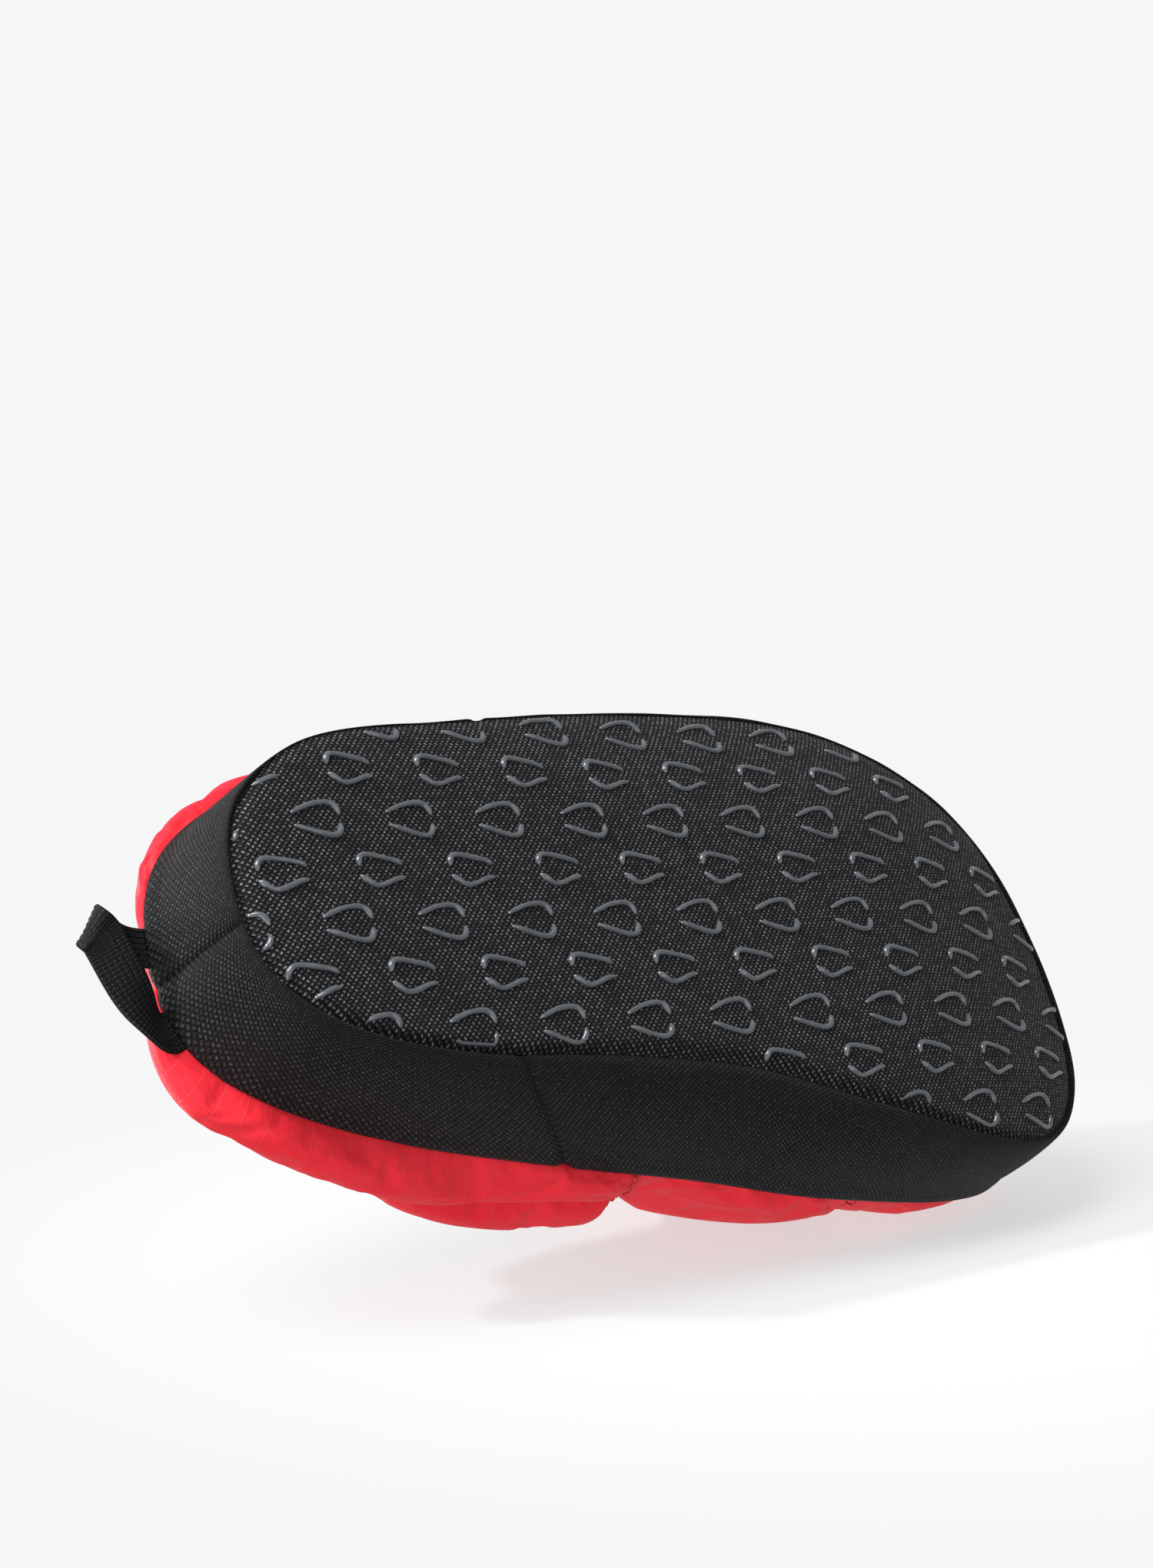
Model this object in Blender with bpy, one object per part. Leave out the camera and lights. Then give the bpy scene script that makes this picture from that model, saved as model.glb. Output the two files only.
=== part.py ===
"""Insulated camp slipper for the right foot, standing on its sole.

The slipper is a stack of sheets: a fabric outsole on a foam midsole, an insole board and a fleece-faced
footbed, a woven band round the edge, a quilted upper of shell, fill and lining round the foot's opening,
and a webbing pull loop sewn in at the heel. +X points to the toe, +Y to the medial side and +Z up. The
origin is on the sole's flat underside, in the middle of its length. Units are metres.
"""

import math

import bmesh
import bpy
import numpy as np
from mathutils import Matrix, Vector

# Sole
SOLE_LENGTH = 0.269  # from the heel seam to the toe seam
SOLE_WIDTH = 0.112  # across the ball, from seam to seam
TOE_BREAK = 0.042  # where the toe spring starts
TOE_SPRING = 0.0175  # how far the sole has risen at its toe end
HEEL_BREAK = 0.106  # behind this distance from the middle, the heel rises
HEEL_RISE = 0.0035
FLAT_HALF_WIDTH = 0.019  # of the underside's flat middle
ROLL_MEDIAL = 2.6  # how the underside rises to its seam: height over the square of the way out, in 1/m
ROLL_LATERAL = 4.6
# The seam between outsole and band, from the heel's tip by the medial side: share of the length from the
# heel, share of the width from the axis, and how far the band stands out from the seam there
SEAM_OUTLINE = (
    (0.000, 0.036, 0.0028),
    (0.018, 0.223, 0.0045),
    (0.082, 0.335, 0.0055),
    (0.204, 0.374, 0.0090),
    (0.357, 0.362, 0.0145),
    (0.513, 0.371, 0.0160),
    (0.669, 0.438, 0.0125),
    (0.814, 0.488, 0.0055),
    (0.918, 0.458, 0.0025),
    (0.981, 0.326, 0.0040),
    (1.000, 0.112, 0.0045),
    (0.980, -0.125, 0.0040),
    (0.915, -0.360, 0.0035),
    (0.804, -0.500, 0.0035),
    (0.660, -0.545, 0.0035),
    (0.467, -0.500, 0.0030),
    (0.273, -0.410, 0.0010),
    (0.110, -0.318, 0.0004),
    (0.021, -0.165, 0.0014),
)

# Sheets, from the ground up and from the outside in
OUTSOLE_SHEET = 0.0012
MIDSOLE_TOP = 0.0128  # height of the foam's flat top over the ground
MIDSOLE_INSET = 0.0045
LEAST_FOAM = 0.0016  # the foam's thickness at its edge, with the gap under it
INSOLE_BOARD = 0.0012
FOOTBED_FOAM = 0.0060
FOOTBED_FLEECE = 0.0024
BAND_SHEET = 0.0012
BAND_FOAM = 0.0042
HEEL_COUNTER = 0.0012
SHELL_SHEET = 0.0008
LINING_SHEET = 0.0012
COLLAR_FILL = 0.0014  # what is left of the fill at the collar's edge
CLEARANCE = 0.0003  # between neighbours that touch
LAYER_GAP = 0.0006  # between touching layers whose cells differ
SEAM_GAP = 0.0008  # between panels that are sewn edge to edge

# Band
BAND_HEIGHT = 0.033  # of its top edge over the sole
LEAST_TURN = 0.0025  # the band's lower edge turns under the slipper by at least this
STEEP_BAND = 0.006  # where it stands out by less, the outsole leaves room for the band's sheet
BAND_SEAM_MEDIAL = -0.067  # where the heel pieces meet the forefoot piece, on the sole's seam
BAND_SEAM_LATERAL = -0.055
BAND_SEAM_SLANT = 0.032  # the same seams lean forward by this at the band's top
HEEL_SEAM_OFFSET = 0.0095  # of the heel seam from the heel's tip, round to the medial side
COUNTER_REACH = 0.062  # of the heel counter to each side of the heel seam
COUNTER_LOW = 0.35  # its lower edge, as a share of the band's turn
BAND_FOAM_LOW = 0.12  # the band foam's lower edge, as a share of the band's turn
LOWER_LINING_LOW = 0.5  # and that of the lining behind the band
LEAST_LEVEL = 0.6  # where the band lies flatter than this, the footbed's rim is set back as if it didn't

# Upper
QUARTER_FRONT = -0.014  # where the vamp meets the quarters, at the band
THROAT = 0.018  # front edge of the foot's opening
HEEL_HUB = -0.071  # the heel's arches all lean towards this point of the slipper's middle
HEEL_ARCH = 0.052  # height of the arches over the band, at the heel
THROAT_ARCH = 0.062  # and at the throat
HEEL_LEAN = 1.45  # over 1, an arch runs straighter from the band to the collar
HEEL_LEAN_START = -0.050  # the arches start to lean like the heel's here
HEEL_LEAN_LENGTH = 0.070
SIDE_LEAN = 0.84
VAMP_LEAN = 1.14
TOE_LEAN = 1.50
COLLAR_ANGLE = math.radians(42)  # where the arches stop at the opening
TOE_CORNER = 0.026  # half the length of the vamp's front edge, along the band
TOE_FULLNESS = 3.0  # how long the toe keeps its height before it drops
TOE_TAPER = 0.42  # how much lower than the throat it has become there
TOE_START = 0.6  # the share of the vamp's length where its rows start to bend round the toe
QUILT_SHARE_BACK = 0.62  # the quarters' quilting line at the heel, as a share of the way up to the collar
QUILT_SHARE_FRONT = 0.45  # and at the vamp
VAMP_SEAM = 0.475  # the seam between vamp and toe, as a share of the way from the throat
QUARTER_PUFF = 0.0070  # how far each channel stands out over its stitching
COLLAR_PUFF = 0.0110
VAMP_PUFF = 0.0042
TOE_PUFF = 0.0020
HEEL_PUFF_SHARE = 0.20  # the channels are flatter at the heel seam
HEEL_PUFF_RUN = 0.75  # and full from this share of the quarter's length on
QUARTER_EDGE = 0.012  # what the quarters' sheets stop short at collar and band, as a share of their height
VAMP_EDGE = 0.006  # and the vamp's at the band, as a share of its width
ROW_GAP = 0.005  # and at the vamp's cross seams, as a share of its length
COLLAR_FADE = 0.6  # from this share of the way to the collar on, the fill gets thinner
THROAT_FADE = 0.16  # and on the vamp, up to this share of its length from the throat
VAMP_PUFF_FIRMNESS = (2.6, 8)  # how squarely the vamp's channels rise along it and across it
BINDING_RADIUS = 0.0026
COLLAR_PARTS = (0.36, 0.28, 0.36)  # shares of the collar's points on medial quarter, vamp and lateral quarter

# Pull loop
WEBBING_WIDTH = 0.010
WEBBING_THICKNESS = 0.0012
LOOP_ROOT_SPACING = 0.0190  # between the middles of the two sewn ends, round the heel
LOOP_REACH = Vector((-0.0178, -0.0098, -0.0075))  # from between the roots to the fold
LOOP_FOLD_AXIS = Vector((-0.24, 0.72, 0.65)).normalized()
LOOP_FOLD_GAP = 0.0036  # between the middles of the two legs at the fold
LOOP_ROOT_PULL = 0.018  # how far the legs run straight out of the band
LOOP_FOLD_PULL = 0.012  # and straight into the fold
LOOP_STANDOFF = 0.0016  # of the middle of each sewn end from the band's edge

# Fineness of the meshes
OUTLINE_STEPS = 720
SOLE_SEGMENTS = 56
OUTSOLE_RINGS = 5
FOOTBED_RINGS = 3
QUARTER_CELLS = (14, 6)
VAMP_CELLS = (7, 14)
BAND_HEEL_CELLS = (14, 5)
BAND_FOREFOOT_CELLS = (44, 5)
FOAM_HEEL_CELLS = (30, 4)
FOAM_FOREFOOT_CELLS = (44, 4)
COUNTER_CELLS = (22, 3)
LOWER_LINING_CELLS = (48, 2)
BINDING_POINTS = 60
LOOP_POINTS = 30


# ---- The slipper's surface ------------------------------------------------------------------------------


def smooth(t):
    """0 to 1 with level ends."""
    t = min(max(t, 0.0), 1.0)
    return t * t * (3 - 2 * t)


def mix(a, b, t):
    return a + (b - a) * t


def closed_spline(points, steps):
    """A smooth closed curve through the points, as steps rows spaced evenly along it, and its length."""
    count = len(points)
    dense = []
    for i in range(count):
        p0, p1, p2, p3 = (np.array(points[(i + k - 1) % count]) for k in range(4))
        for t in np.linspace(0, 1, 60, endpoint=False):
            dense.append(
                0.5 * (2 * p1 + (p2 - p0) * t + (2 * p0 - 5 * p1 + 4 * p2 - p3) * t**2
                       + (3 * p1 - p0 - 3 * p2 + p3) * t**3)
            )
    dense = np.array(dense + dense[:1])
    steps_between = np.linalg.norm(np.diff(dense[:, :2], axis=0), axis=1)
    along = np.concatenate([[0], np.cumsum(steps_between)])
    at = np.linspace(0, along[-1], steps, endpoint=False)
    return np.stack([np.interp(at, along, column) for column in dense.T], axis=1), along[-1]


SEAM, PERIMETER = closed_spline(
    [((along - 0.5) * SOLE_LENGTH, across * SOLE_WIDTH, out) for along, across, out in SEAM_OUTLINE],
    OUTLINE_STEPS,
)
TANGENT = np.roll(SEAM, -6, axis=0)[:, :2] - np.roll(SEAM, 6, axis=0)[:, :2]
TANGENT /= np.linalg.norm(TANGENT, axis=1)[:, None]
OUTWARD = np.stack([-TANGENT[:, 1], TANGENT[:, 0]], axis=1)
TOE_SHARE = float(np.argmax(SEAM[:, 0])) / OUTLINE_STEPS
HEEL_SEAM = HEEL_SEAM_OFFSET / PERIMETER
UP = np.array([0.0, 0.0, 1.0])


def around(table, u):
    """A row of an outline table at share u of the way round."""
    at = (u % 1.0) * OUTLINE_STEPS
    i = int(at) % OUTLINE_STEPS
    return mix(table[i], table[(i + 1) % OUTLINE_STEPS], at - int(at))


def outward(u):
    """The level direction out of the slipper at share u."""
    n = around(OUTWARD, u)
    return np.array([*n / np.linalg.norm(n), 0.0])


def sole_height(x):
    """Height of the sole's underside along the middle of the slipper."""
    if x > TOE_BREAK:
        return TOE_SPRING * ((x - TOE_BREAK) / (SOLE_LENGTH / 2 - TOE_BREAK)) ** 2
    if x < -HEEL_BREAK:
        return HEEL_RISE * ((x + HEEL_BREAK) / (SOLE_LENGTH / 2 - HEEL_BREAK)) ** 2
    return 0.0


def underside(x, y):
    """The outsole's underside, flat in the middle and rolling up to its seam."""
    roll = ROLL_MEDIAL if y > 0 else ROLL_LATERAL
    return sole_height(x) + roll * max(abs(y) - FLAT_HALF_WIDTH, 0.0) ** 2


def seam_point(u):
    """The seam between outsole and band."""
    x, y, _ = around(SEAM, u)
    return np.array([x, y, underside(x, y)])


def band_top(u):
    """The band's top edge, where the upper starts."""
    x, y, out = around(SEAM, u)
    return np.array([x, y, sole_height(x) + BAND_HEIGHT]) + outward(u) * out


def share_at(x, lateral, line=band_top):
    """The share round the outline where that side's line reaches x."""
    low, high = (0.0, TOE_SHARE) if not lateral else (1.0, TOE_SHARE)
    for _ in range(40):
        middle = (low + high) / 2
        if line(middle)[0] < x:
            low = middle
        else:
            high = middle
    return (low + high) / 2


FRONT_MEDIAL = share_at(QUARTER_FRONT, False)
FRONT_LATERAL = share_at(QUARTER_FRONT, True) - 1
HUB_Y = 0.5 * (band_top(share_at(HEEL_HUB, False))[1] + band_top(share_at(HEEL_HUB, True))[1])
FRONT_FOOT = 0.5 * (band_top(FRONT_MEDIAL) + band_top(FRONT_LATERAL))


def band(u, turn):
    """(point, normal) on the band's face: turn 0 at the outsole's seam, and 1 at the band's top."""
    low, high = seam_point(u), band_top(u)
    angle = turn * math.pi / 2
    point = np.array([*mix(low[:2], high[:2], math.sin(angle)), mix(low[2], high[2], 1 - math.cos(angle))])
    out = max(np.linalg.norm(high[:2] - low[:2]), LEAST_TURN)
    normal = math.sin(angle) * (high[2] - low[2]) * outward(u) - math.cos(angle) * out * UP
    return point, normal / np.linalg.norm(normal)


def spine(row):
    """The vamp's highest line: row 0 at the throat, and 1 on the band at the toe."""
    tip = band_top(TOE_SHARE)
    share = row**0.9
    drop = math.sqrt(max(1 - share**TOE_FULLNESS, 0)) * (1 - TOE_TAPER * share)
    height = mix(tip[2], FRONT_FOOT[2] + THROAT_ARCH, drop)
    return np.array([mix(THROAT, tip[0], share), mix(FRONT_FOOT[1], tip[1], share), height])


def spine_normal(row):
    ahead, behind = spine(min(row + 0.01, 1.0)), spine(max(row - 0.01, 0.0))
    along = ahead - behind
    normal = np.array([-along[2], 0, along[0]])
    return normal / np.linalg.norm(normal)


def arch(base, foot, apex, angle, lean):
    """A point of the arch that springs from base over foot to apex."""
    return foot + math.cos(angle) ** lean * (base - foot) + max(math.sin(angle), 0.0) ** lean * (apex - foot)


def quarter(u, share):
    """(point, normal) on the quarters' stitched-down face: share 0 at the band and 1 at the collar."""
    base = band_top(u)
    x = max(base[0], HEEL_HUB)
    along = (x - HEEL_HUB) / (QUARTER_FRONT - HEEL_HUB)
    forward = smooth(along)
    foot = np.array([x, mix(HUB_Y, FRONT_FOOT[1], along), base[2]])
    rise = mix(HEEL_ARCH, THROAT_ARCH, forward)
    apex = foot + np.array([(THROAT - QUARTER_FRONT) * forward, 0, rise])
    heel = smooth((HEEL_LEAN_START - base[0]) / HEEL_LEAN_LENGTH)
    lean = mix(mix(SIDE_LEAN, VAMP_LEAN, forward), HEEL_LEAN, heel)
    angle = share * COLLAR_ANGLE
    top = mix(UP, spine_normal(0), forward)
    normal = math.cos(angle) * outward(u) + math.sin(angle) * top / np.linalg.norm(top)
    return arch(base, foot, apex, angle, lean), normal / np.linalg.norm(normal)


def vamp(row, across):
    """(point, normal) on the vamp's stitched-down face: across 0 at the medial band, 1 at the lateral."""
    corner = TOE_CORNER / PERIMETER
    lateral = across > 0.5
    angle = math.pi * min(across, 1 - across)
    medial_foot = mix(FRONT_MEDIAL, TOE_SHARE - corner, row)
    lateral_foot = mix(FRONT_LATERAL + 1, TOE_SHARE + corner, row)
    u, other = (lateral_foot, medial_foot) if lateral else (medial_foot, lateral_foot)
    foot = 0.5 * (band_top(u) + band_top(other))
    point = arch(band_top(u), foot, spine(row), angle, mix(VAMP_LEAN, TOE_LEAN, row))
    side = outward(u)
    if row > TOE_START:  # the front edge follows the band round the toe
        bend = smooth((row - TOE_START) / (1 - TOE_START))
        edge = mix(TOE_SHARE - corner, TOE_SHARE + corner, across)
        last = band_top(TOE_SHARE + corner if lateral else TOE_SHARE - corner)
        last_foot = 0.5 * (band_top(TOE_SHARE + corner) + band_top(TOE_SHARE - corner))
        point = point + (band_top(edge) - arch(last, last_foot, spine(1), angle, TOE_LEAN)) * bend
        side = mix(side, outward(edge), bend)
    normal = math.cos(angle) * side + math.sin(angle) * spine_normal(row)
    return point, normal / np.linalg.norm(normal)


def pillow(share, firmness):
    """0 at both ends of a channel and 1 along most of it."""
    return math.sqrt(max(1 - abs(2 * share - 1) ** firmness, 0.0))


def quarter_run(u):
    """How far u is along its quarter: 0 at the heel seam, and 1 at the vamp."""
    front = FRONT_MEDIAL if u > HEEL_SEAM else FRONT_LATERAL
    return min(max((u - HEEL_SEAM) / (front - HEEL_SEAM), 0.0), 1.0)


def quarter_share(u, rise):
    """The share of the way up the quarter, with the quilting line at rise 0.5."""
    line = mix(QUILT_SHARE_BACK, QUILT_SHARE_FRONT, smooth(quarter_run(u)))
    return 2 * rise * line if rise < 0.5 else mix(line, 1.0, 2 * rise - 1)


def quarter_puff(u, rise):
    """How far the quarter's shell stands over its stitched-down face."""
    height, across = (QUARTER_PUFF, 2 * rise) if rise < 0.5 else (COLLAR_PUFF, 2 * rise - 1)
    run = quarter_run(u)
    return height * mix(HEEL_PUFF_SHARE, 1.0, smooth(run / HEEL_PUFF_RUN)) * pillow(across, 2.4) * pillow(run, 14)


def fill_depth(share):
    """Depth of the fill's inner face under the stitched-down face: less towards the collar's edge."""
    full, least = BAND_SHEET + LAYER_GAP + BAND_FOAM, SHELL_SHEET + CLEARANCE + COLLAR_FILL
    return mix(full, least, smooth((share - COLLAR_FADE) / (1 - COLLAR_FADE)))


def vamp_fill_depth(row, across):
    """The same on the vamp, where only the middle of its back edge is the collar."""
    way_up = math.pi * min(across, 1 - across) / COLLAR_ANGLE
    over_collar = smooth((way_up - COLLAR_FADE) / (1 - COLLAR_FADE))
    near_throat = smooth(1 - row / THROAT_FADE)
    return mix(fill_depth(0), fill_depth(1), over_collar * near_throat)


# ---- Blender objects ------------------------------------------------------------------------------------


def clear_scene():
    for obj in list(bpy.data.objects):
        bpy.data.objects.remove(obj, do_unlink=True)


def make_material(name, colour, roughness):
    material = bpy.data.materials.new(name)
    material.use_nodes = True
    shader = material.node_tree.nodes["Principled BSDF"]
    shader.inputs["Base Color"].default_value = (*colour, 1.0)
    shader.inputs["Roughness"].default_value = roughness
    shader.inputs["Metallic"].default_value = 0.0
    return material


def new_object(name, bm, material):
    """A named object from a finished bmesh, shaded smooth but for its sharp edges."""
    if bm.calc_volume(signed=True) < 0:
        bmesh.ops.reverse_faces(bm, faces=bm.faces)
    mesh = bpy.data.meshes.new(name)
    bm.to_mesh(mesh)
    bm.free()
    mesh.shade_smooth()
    mesh.set_sharp_from_angle(angle=math.radians(50))
    mesh.materials.append(material)
    obj = bpy.data.objects.new(name, mesh)
    bpy.data.collections["camp_slipper"].objects.link(obj)
    return obj


def block(name, material, place, cells):
    """A sheet or pad: a cube cut into cells, whose corners place(a, b, side) puts on the slipper.

    a and b run from 0 to 1 over the sheet, and side is 0 on its outer face and 1 on its inner one.
    """
    bm = bmesh.new()
    bmesh.ops.create_cube(bm, size=1.0, matrix=Matrix.Translation((0.5, 0.5, 0.5)))
    for axis, count in enumerate(cells):
        along = [e for e in bm.edges if abs(e.verts[0].co[axis] - e.verts[1].co[axis]) > 0.5]
        bmesh.ops.subdivide_edges(bm, edges=along, cuts=count - 1)
    for face in list(bm.faces):  # every cell has the same diagonal, so that layers lie face to face
        corners = sorted(face.verts, key=lambda vert: sum(vert.co))
        if len({round(vert.co.z, 3) for vert in corners}) == 1:
            bmesh.utils.face_split(face, corners[0], corners[3])
    for vert in bm.verts:
        vert.co = Vector(place(*vert.co))
    return new_object(name, bm, material)


def slab(name, material, rim, bottom, top, rings):
    """A sole layer: a flattened sphere whose rim follows rim(u, is_top), between two height functions."""
    bm = bmesh.new()
    rows = 2 * rings + 1
    bmesh.ops.create_uvsphere(bm, u_segments=SOLE_SEGMENTS, v_segments=rows, radius=1.0)
    for vert in bm.verts:
        row = round(math.acos(max(-1.0, min(1.0, vert.co.z))) / math.pi * rows)
        is_top = row <= rings
        reach = math.sin(math.pi / 2 * (row if is_top else rows - row) / rings)
        u = (0.5 - math.atan2(vert.co.y, vert.co.x) / (2 * math.pi)) % 1.0
        x, y = rim(u, is_top)[:2] * reach
        vert.co = (x, y, (top if is_top else bottom)(x, y))
    return new_object(name, bm, material)


# ---- Sub-parts ------------------------------------------------------------------------------------------


def layer_rim(height):
    """The rim of a footbed layer that ends against the lining at that height over the sole."""
    depth = BAND_SHEET + BAND_FOAM + LINING_SHEET + 4 * LAYER_GAP

    def rim(u, is_top):
        low, high = seam_point(u), band_top(u)
        share = (height - (low[2] - sole_height(low[0]))) / (high[2] - low[2])
        turn = math.acos(1 - min(max(share, 0.0), 1.0)) / (math.pi / 2)
        point, normal = band(u, turn)
        level = math.hypot(normal[0], normal[1])
        return point - outward(u) * depth / max(level, LEAST_LEVEL)

    return rim


def build_sole(paint):
    height = MIDSOLE_TOP + LAYER_GAP
    rim = layer_rim(height)

    def outsole_rim(u, is_top):
        steepness = 1 - min(around(SEAM, u)[2] / STEEP_BAND, 1.0)
        return seam_point(u) - outward(u) * (SEAM_GAP / 2 + BAND_SHEET * steepness)

    def midsole_rim(u, is_top):
        by_seam = seam_point(u) - outward(u) * MIDSOLE_INSET
        by_lining = rim(u, is_top) - outward(u) * LAYER_GAP
        return min(by_seam, by_lining, key=lambda point: point @ outward(u))

    slab(
        "outsole_fabric", paint["outsole"], outsole_rim,
        underside, lambda x, y: underside(x, y) + OUTSOLE_SHEET, OUTSOLE_RINGS,
    )
    slab(
        "midsole_foam", paint["foam"], midsole_rim,
        lambda x, y: underside(x, y) + OUTSOLE_SHEET + LAYER_GAP,
        lambda x, y: max(sole_height(x) + MIDSOLE_TOP, underside(x, y) + OUTSOLE_SHEET + LEAST_FOAM),
        OUTSOLE_RINGS,
    )
    for name, material, thickness in (
        ("insole_board", "board", INSOLE_BOARD),
        ("footbed_foam", "foam", FOOTBED_FOAM),
        ("footbed_fleece", "fleece", FOOTBED_FLEECE),
    ):
        slab(
            name, paint[material], rim,
            lambda x, y, z=height: sole_height(x) + z,
            lambda x, y, z=height + thickness: sole_height(x) + z, FOOTBED_RINGS,
        )
        height += thickness + LAYER_GAP


def band_seam(side_x, lateral):
    """The slanting seam across the band: its share round the outline at each turn."""
    low = share_at(side_x, lateral, seam_point)
    high = share_at(side_x + BAND_SEAM_SLANT, lateral, band_top)
    wrap = 1 if lateral else 0
    return lambda turn: mix(low, high, 1 - math.cos(turn * math.pi / 2)) - wrap


def build_band(paint):
    gap = SEAM_GAP / 2 / PERIMETER
    slant_gap = 1.5 * gap  # along the outline, a slanting seam's gap measures more
    foam_gap = 3 * gap  # and the foam's cells differ on its two sides
    edge = SEAM_GAP / 2 / BAND_HEIGHT
    medial, lateral = band_seam(BAND_SEAM_MEDIAL, False), band_seam(BAND_SEAM_LATERAL, True)

    def heel(turn):
        return HEEL_SEAM

    def forefoot_end(turn):
        return lateral(turn) + 1

    def piece(name, material, start, end, turns, depths, cells, gap):
        def place(a, b, side):
            turn = mix(*turns, b)
            point, normal = band(mix(start(turn) + gap, end(turn) - gap, a), turn)
            return point - normal * mix(*depths, side)

        block(name, paint[material], place, cells)

    sheet = (0.0, BAND_SHEET)
    rise = (edge * 1.5, 1 - edge)
    piece("band_heel_medial", "band", heel, medial, rise, sheet, BAND_HEEL_CELLS, slant_gap)
    piece("band_heel_lateral", "band", lateral, heel, rise, sheet, BAND_HEEL_CELLS, slant_gap)
    piece("band_forefoot", "band", medial, forefoot_end, rise, sheet, BAND_FOREFOOT_CELLS, slant_gap)

    outer = BAND_SHEET + LAYER_GAP
    inner = outer + BAND_FOAM
    low = (BAND_FOAM_LOW, 1 - edge)
    reach = COUNTER_REACH / PERIMETER
    counter = (outer, outer + HEEL_COUNTER)
    piece(
        "heel_counter", "board", lambda turn: HEEL_SEAM - reach, lambda turn: HEEL_SEAM + reach,
        (COUNTER_LOW, 1 - edge), counter, COUNTER_CELLS, gap,
    )
    foam = counter[1] + LAYER_GAP
    piece("band_foam_heel", "foam", lateral, medial, low, (foam, inner), FOAM_HEEL_CELLS, foam_gap)
    piece("band_foam_forefoot", "foam", medial, forefoot_end, low, (outer, inner), FOAM_FOREFOOT_CELLS, foam_gap)


def quarter_ends(name):
    """The two ends of a quarter, as shares round the outline, each half a seam's gap short."""
    gap = SEAM_GAP / 2 / PERIMETER
    if name == "medial":
        return HEEL_SEAM + gap, FRONT_MEDIAL - gap
    return FRONT_LATERAL + gap, HEEL_SEAM - gap


def build_quarters(paint):
    edge = QUARTER_EDGE
    for name in ("medial", "lateral"):
        ends = quarter_ends(name)

        def shell(a, b, side):
            u = mix(*ends, a)
            rise = mix(edge, 1 - edge, b)
            point, normal = quarter(u, quarter_share(u, rise))
            return point + normal * (quarter_puff(u, rise) - SHELL_SHEET * side)

        def fill(a, b, side):
            u = mix(*ends, a)
            rise = mix(edge, 1 - edge, b)
            share = quarter_share(u, rise)
            point, normal = quarter(u, share)
            outer = SHELL_SHEET + CLEARANCE - quarter_puff(u, rise)
            return point - normal * mix(outer, fill_depth(share), side)

        def lining(a, b, side):
            u = mix(*ends, a)
            rise = mix(edge, 1 - edge, b)
            share = quarter_share(u, rise)
            point, normal = quarter(u, share)
            return point - normal * (fill_depth(share) + LAYER_GAP + LINING_SHEET * side)

        block(f"shell_quarter_{name}", paint["shell"], shell, QUARTER_CELLS)
        block(f"fill_quarter_{name}", paint["fill"], fill, QUARTER_CELLS)
        block(f"lining_quarter_{name}", paint["lining"], lining, QUARTER_CELLS)


def build_vamp(paint):
    edge = VAMP_EDGE
    row_gap = ROW_GAP
    firm_along, firm_across = VAMP_PUFF_FIRMNESS

    def shell_place(rows, puff):
        def place(a, b, side):
            row, across = mix(*rows, a), mix(edge, 1 - edge, b)
            point, normal = vamp(row, across)
            height = puff * pillow(a, firm_along) * pillow(across, firm_across)
            return point + normal * (height - SHELL_SHEET * side)

        return place

    def fill_place(rows, puff):
        def place(a, b, side):
            row, across = mix(*rows, a), mix(edge, 1 - edge, b)
            point, normal = vamp(row, across)
            height = puff * pillow(a, firm_along) * pillow(across, firm_across)
            return point - normal * mix(SHELL_SHEET + CLEARANCE - height, vamp_fill_depth(row, across), side)

        return place

    vamp_rows, toe_rows = (row_gap, VAMP_SEAM - row_gap), (VAMP_SEAM + row_gap, 1 - row_gap)
    block("shell_vamp", paint["shell"], shell_place(vamp_rows, VAMP_PUFF), VAMP_CELLS)
    block("shell_toe", paint["shell"], shell_place(toe_rows, TOE_PUFF), VAMP_CELLS)
    block("fill_vamp", paint["fill"], fill_place(vamp_rows, VAMP_PUFF), VAMP_CELLS)
    block("fill_toe", paint["fill"], fill_place(toe_rows, TOE_PUFF), VAMP_CELLS)

    def lining(a, b, side):
        row, across = mix(row_gap, 1 - row_gap, a), mix(edge, 1 - edge, b)
        point, normal = vamp(row, across)
        return point - normal * (vamp_fill_depth(row, across) + LAYER_GAP + LINING_SHEET * side)

    block("lining_vamp", paint["lining"], lining, (2 * VAMP_CELLS[0], VAMP_CELLS[1]))


def build_lower_lining(paint):
    """The lining behind the band, from the footbed up to the upper's own lining."""
    gap = SEAM_GAP / 2 / PERIMETER
    depth = BAND_SHEET + BAND_FOAM + 2 * LAYER_GAP

    def piece(name, ends):
        def place(a, b, side):
            turn = mix(LOWER_LINING_LOW, 1 - SEAM_GAP / 2 / BAND_HEIGHT, b)
            point, normal = band(mix(*ends, a), turn)
            return point - normal * (depth + LINING_SHEET * side)

        block(name, paint["lining"], place, LOWER_LINING_CELLS)

    piece("lining_band_medial", (HEEL_SEAM + gap, TOE_SHARE - gap))
    piece("lining_band_lateral", (TOE_SHARE + gap, HEEL_SEAM + 1 - gap))


def tube(name, material, points, radius, cyclic):
    """A curve with a round bevel through the points."""
    curve = bpy.data.curves.new(name, "CURVE")
    curve.dimensions = "3D"
    curve.bevel_depth = radius
    curve.bevel_resolution = 1
    curve.use_fill_caps = not cyclic
    spline = curve.splines.new("POLY")
    spline.points.add(len(points) - 1)
    for at, point in zip(spline.points, points):
        at.co = (*point, 1.0)
    spline.use_cyclic_u = cyclic
    obj = bpy.data.objects.new(name, curve)
    curve.materials.append(material)
    bpy.data.collections["camp_slipper"].objects.link(obj)
    return obj


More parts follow.
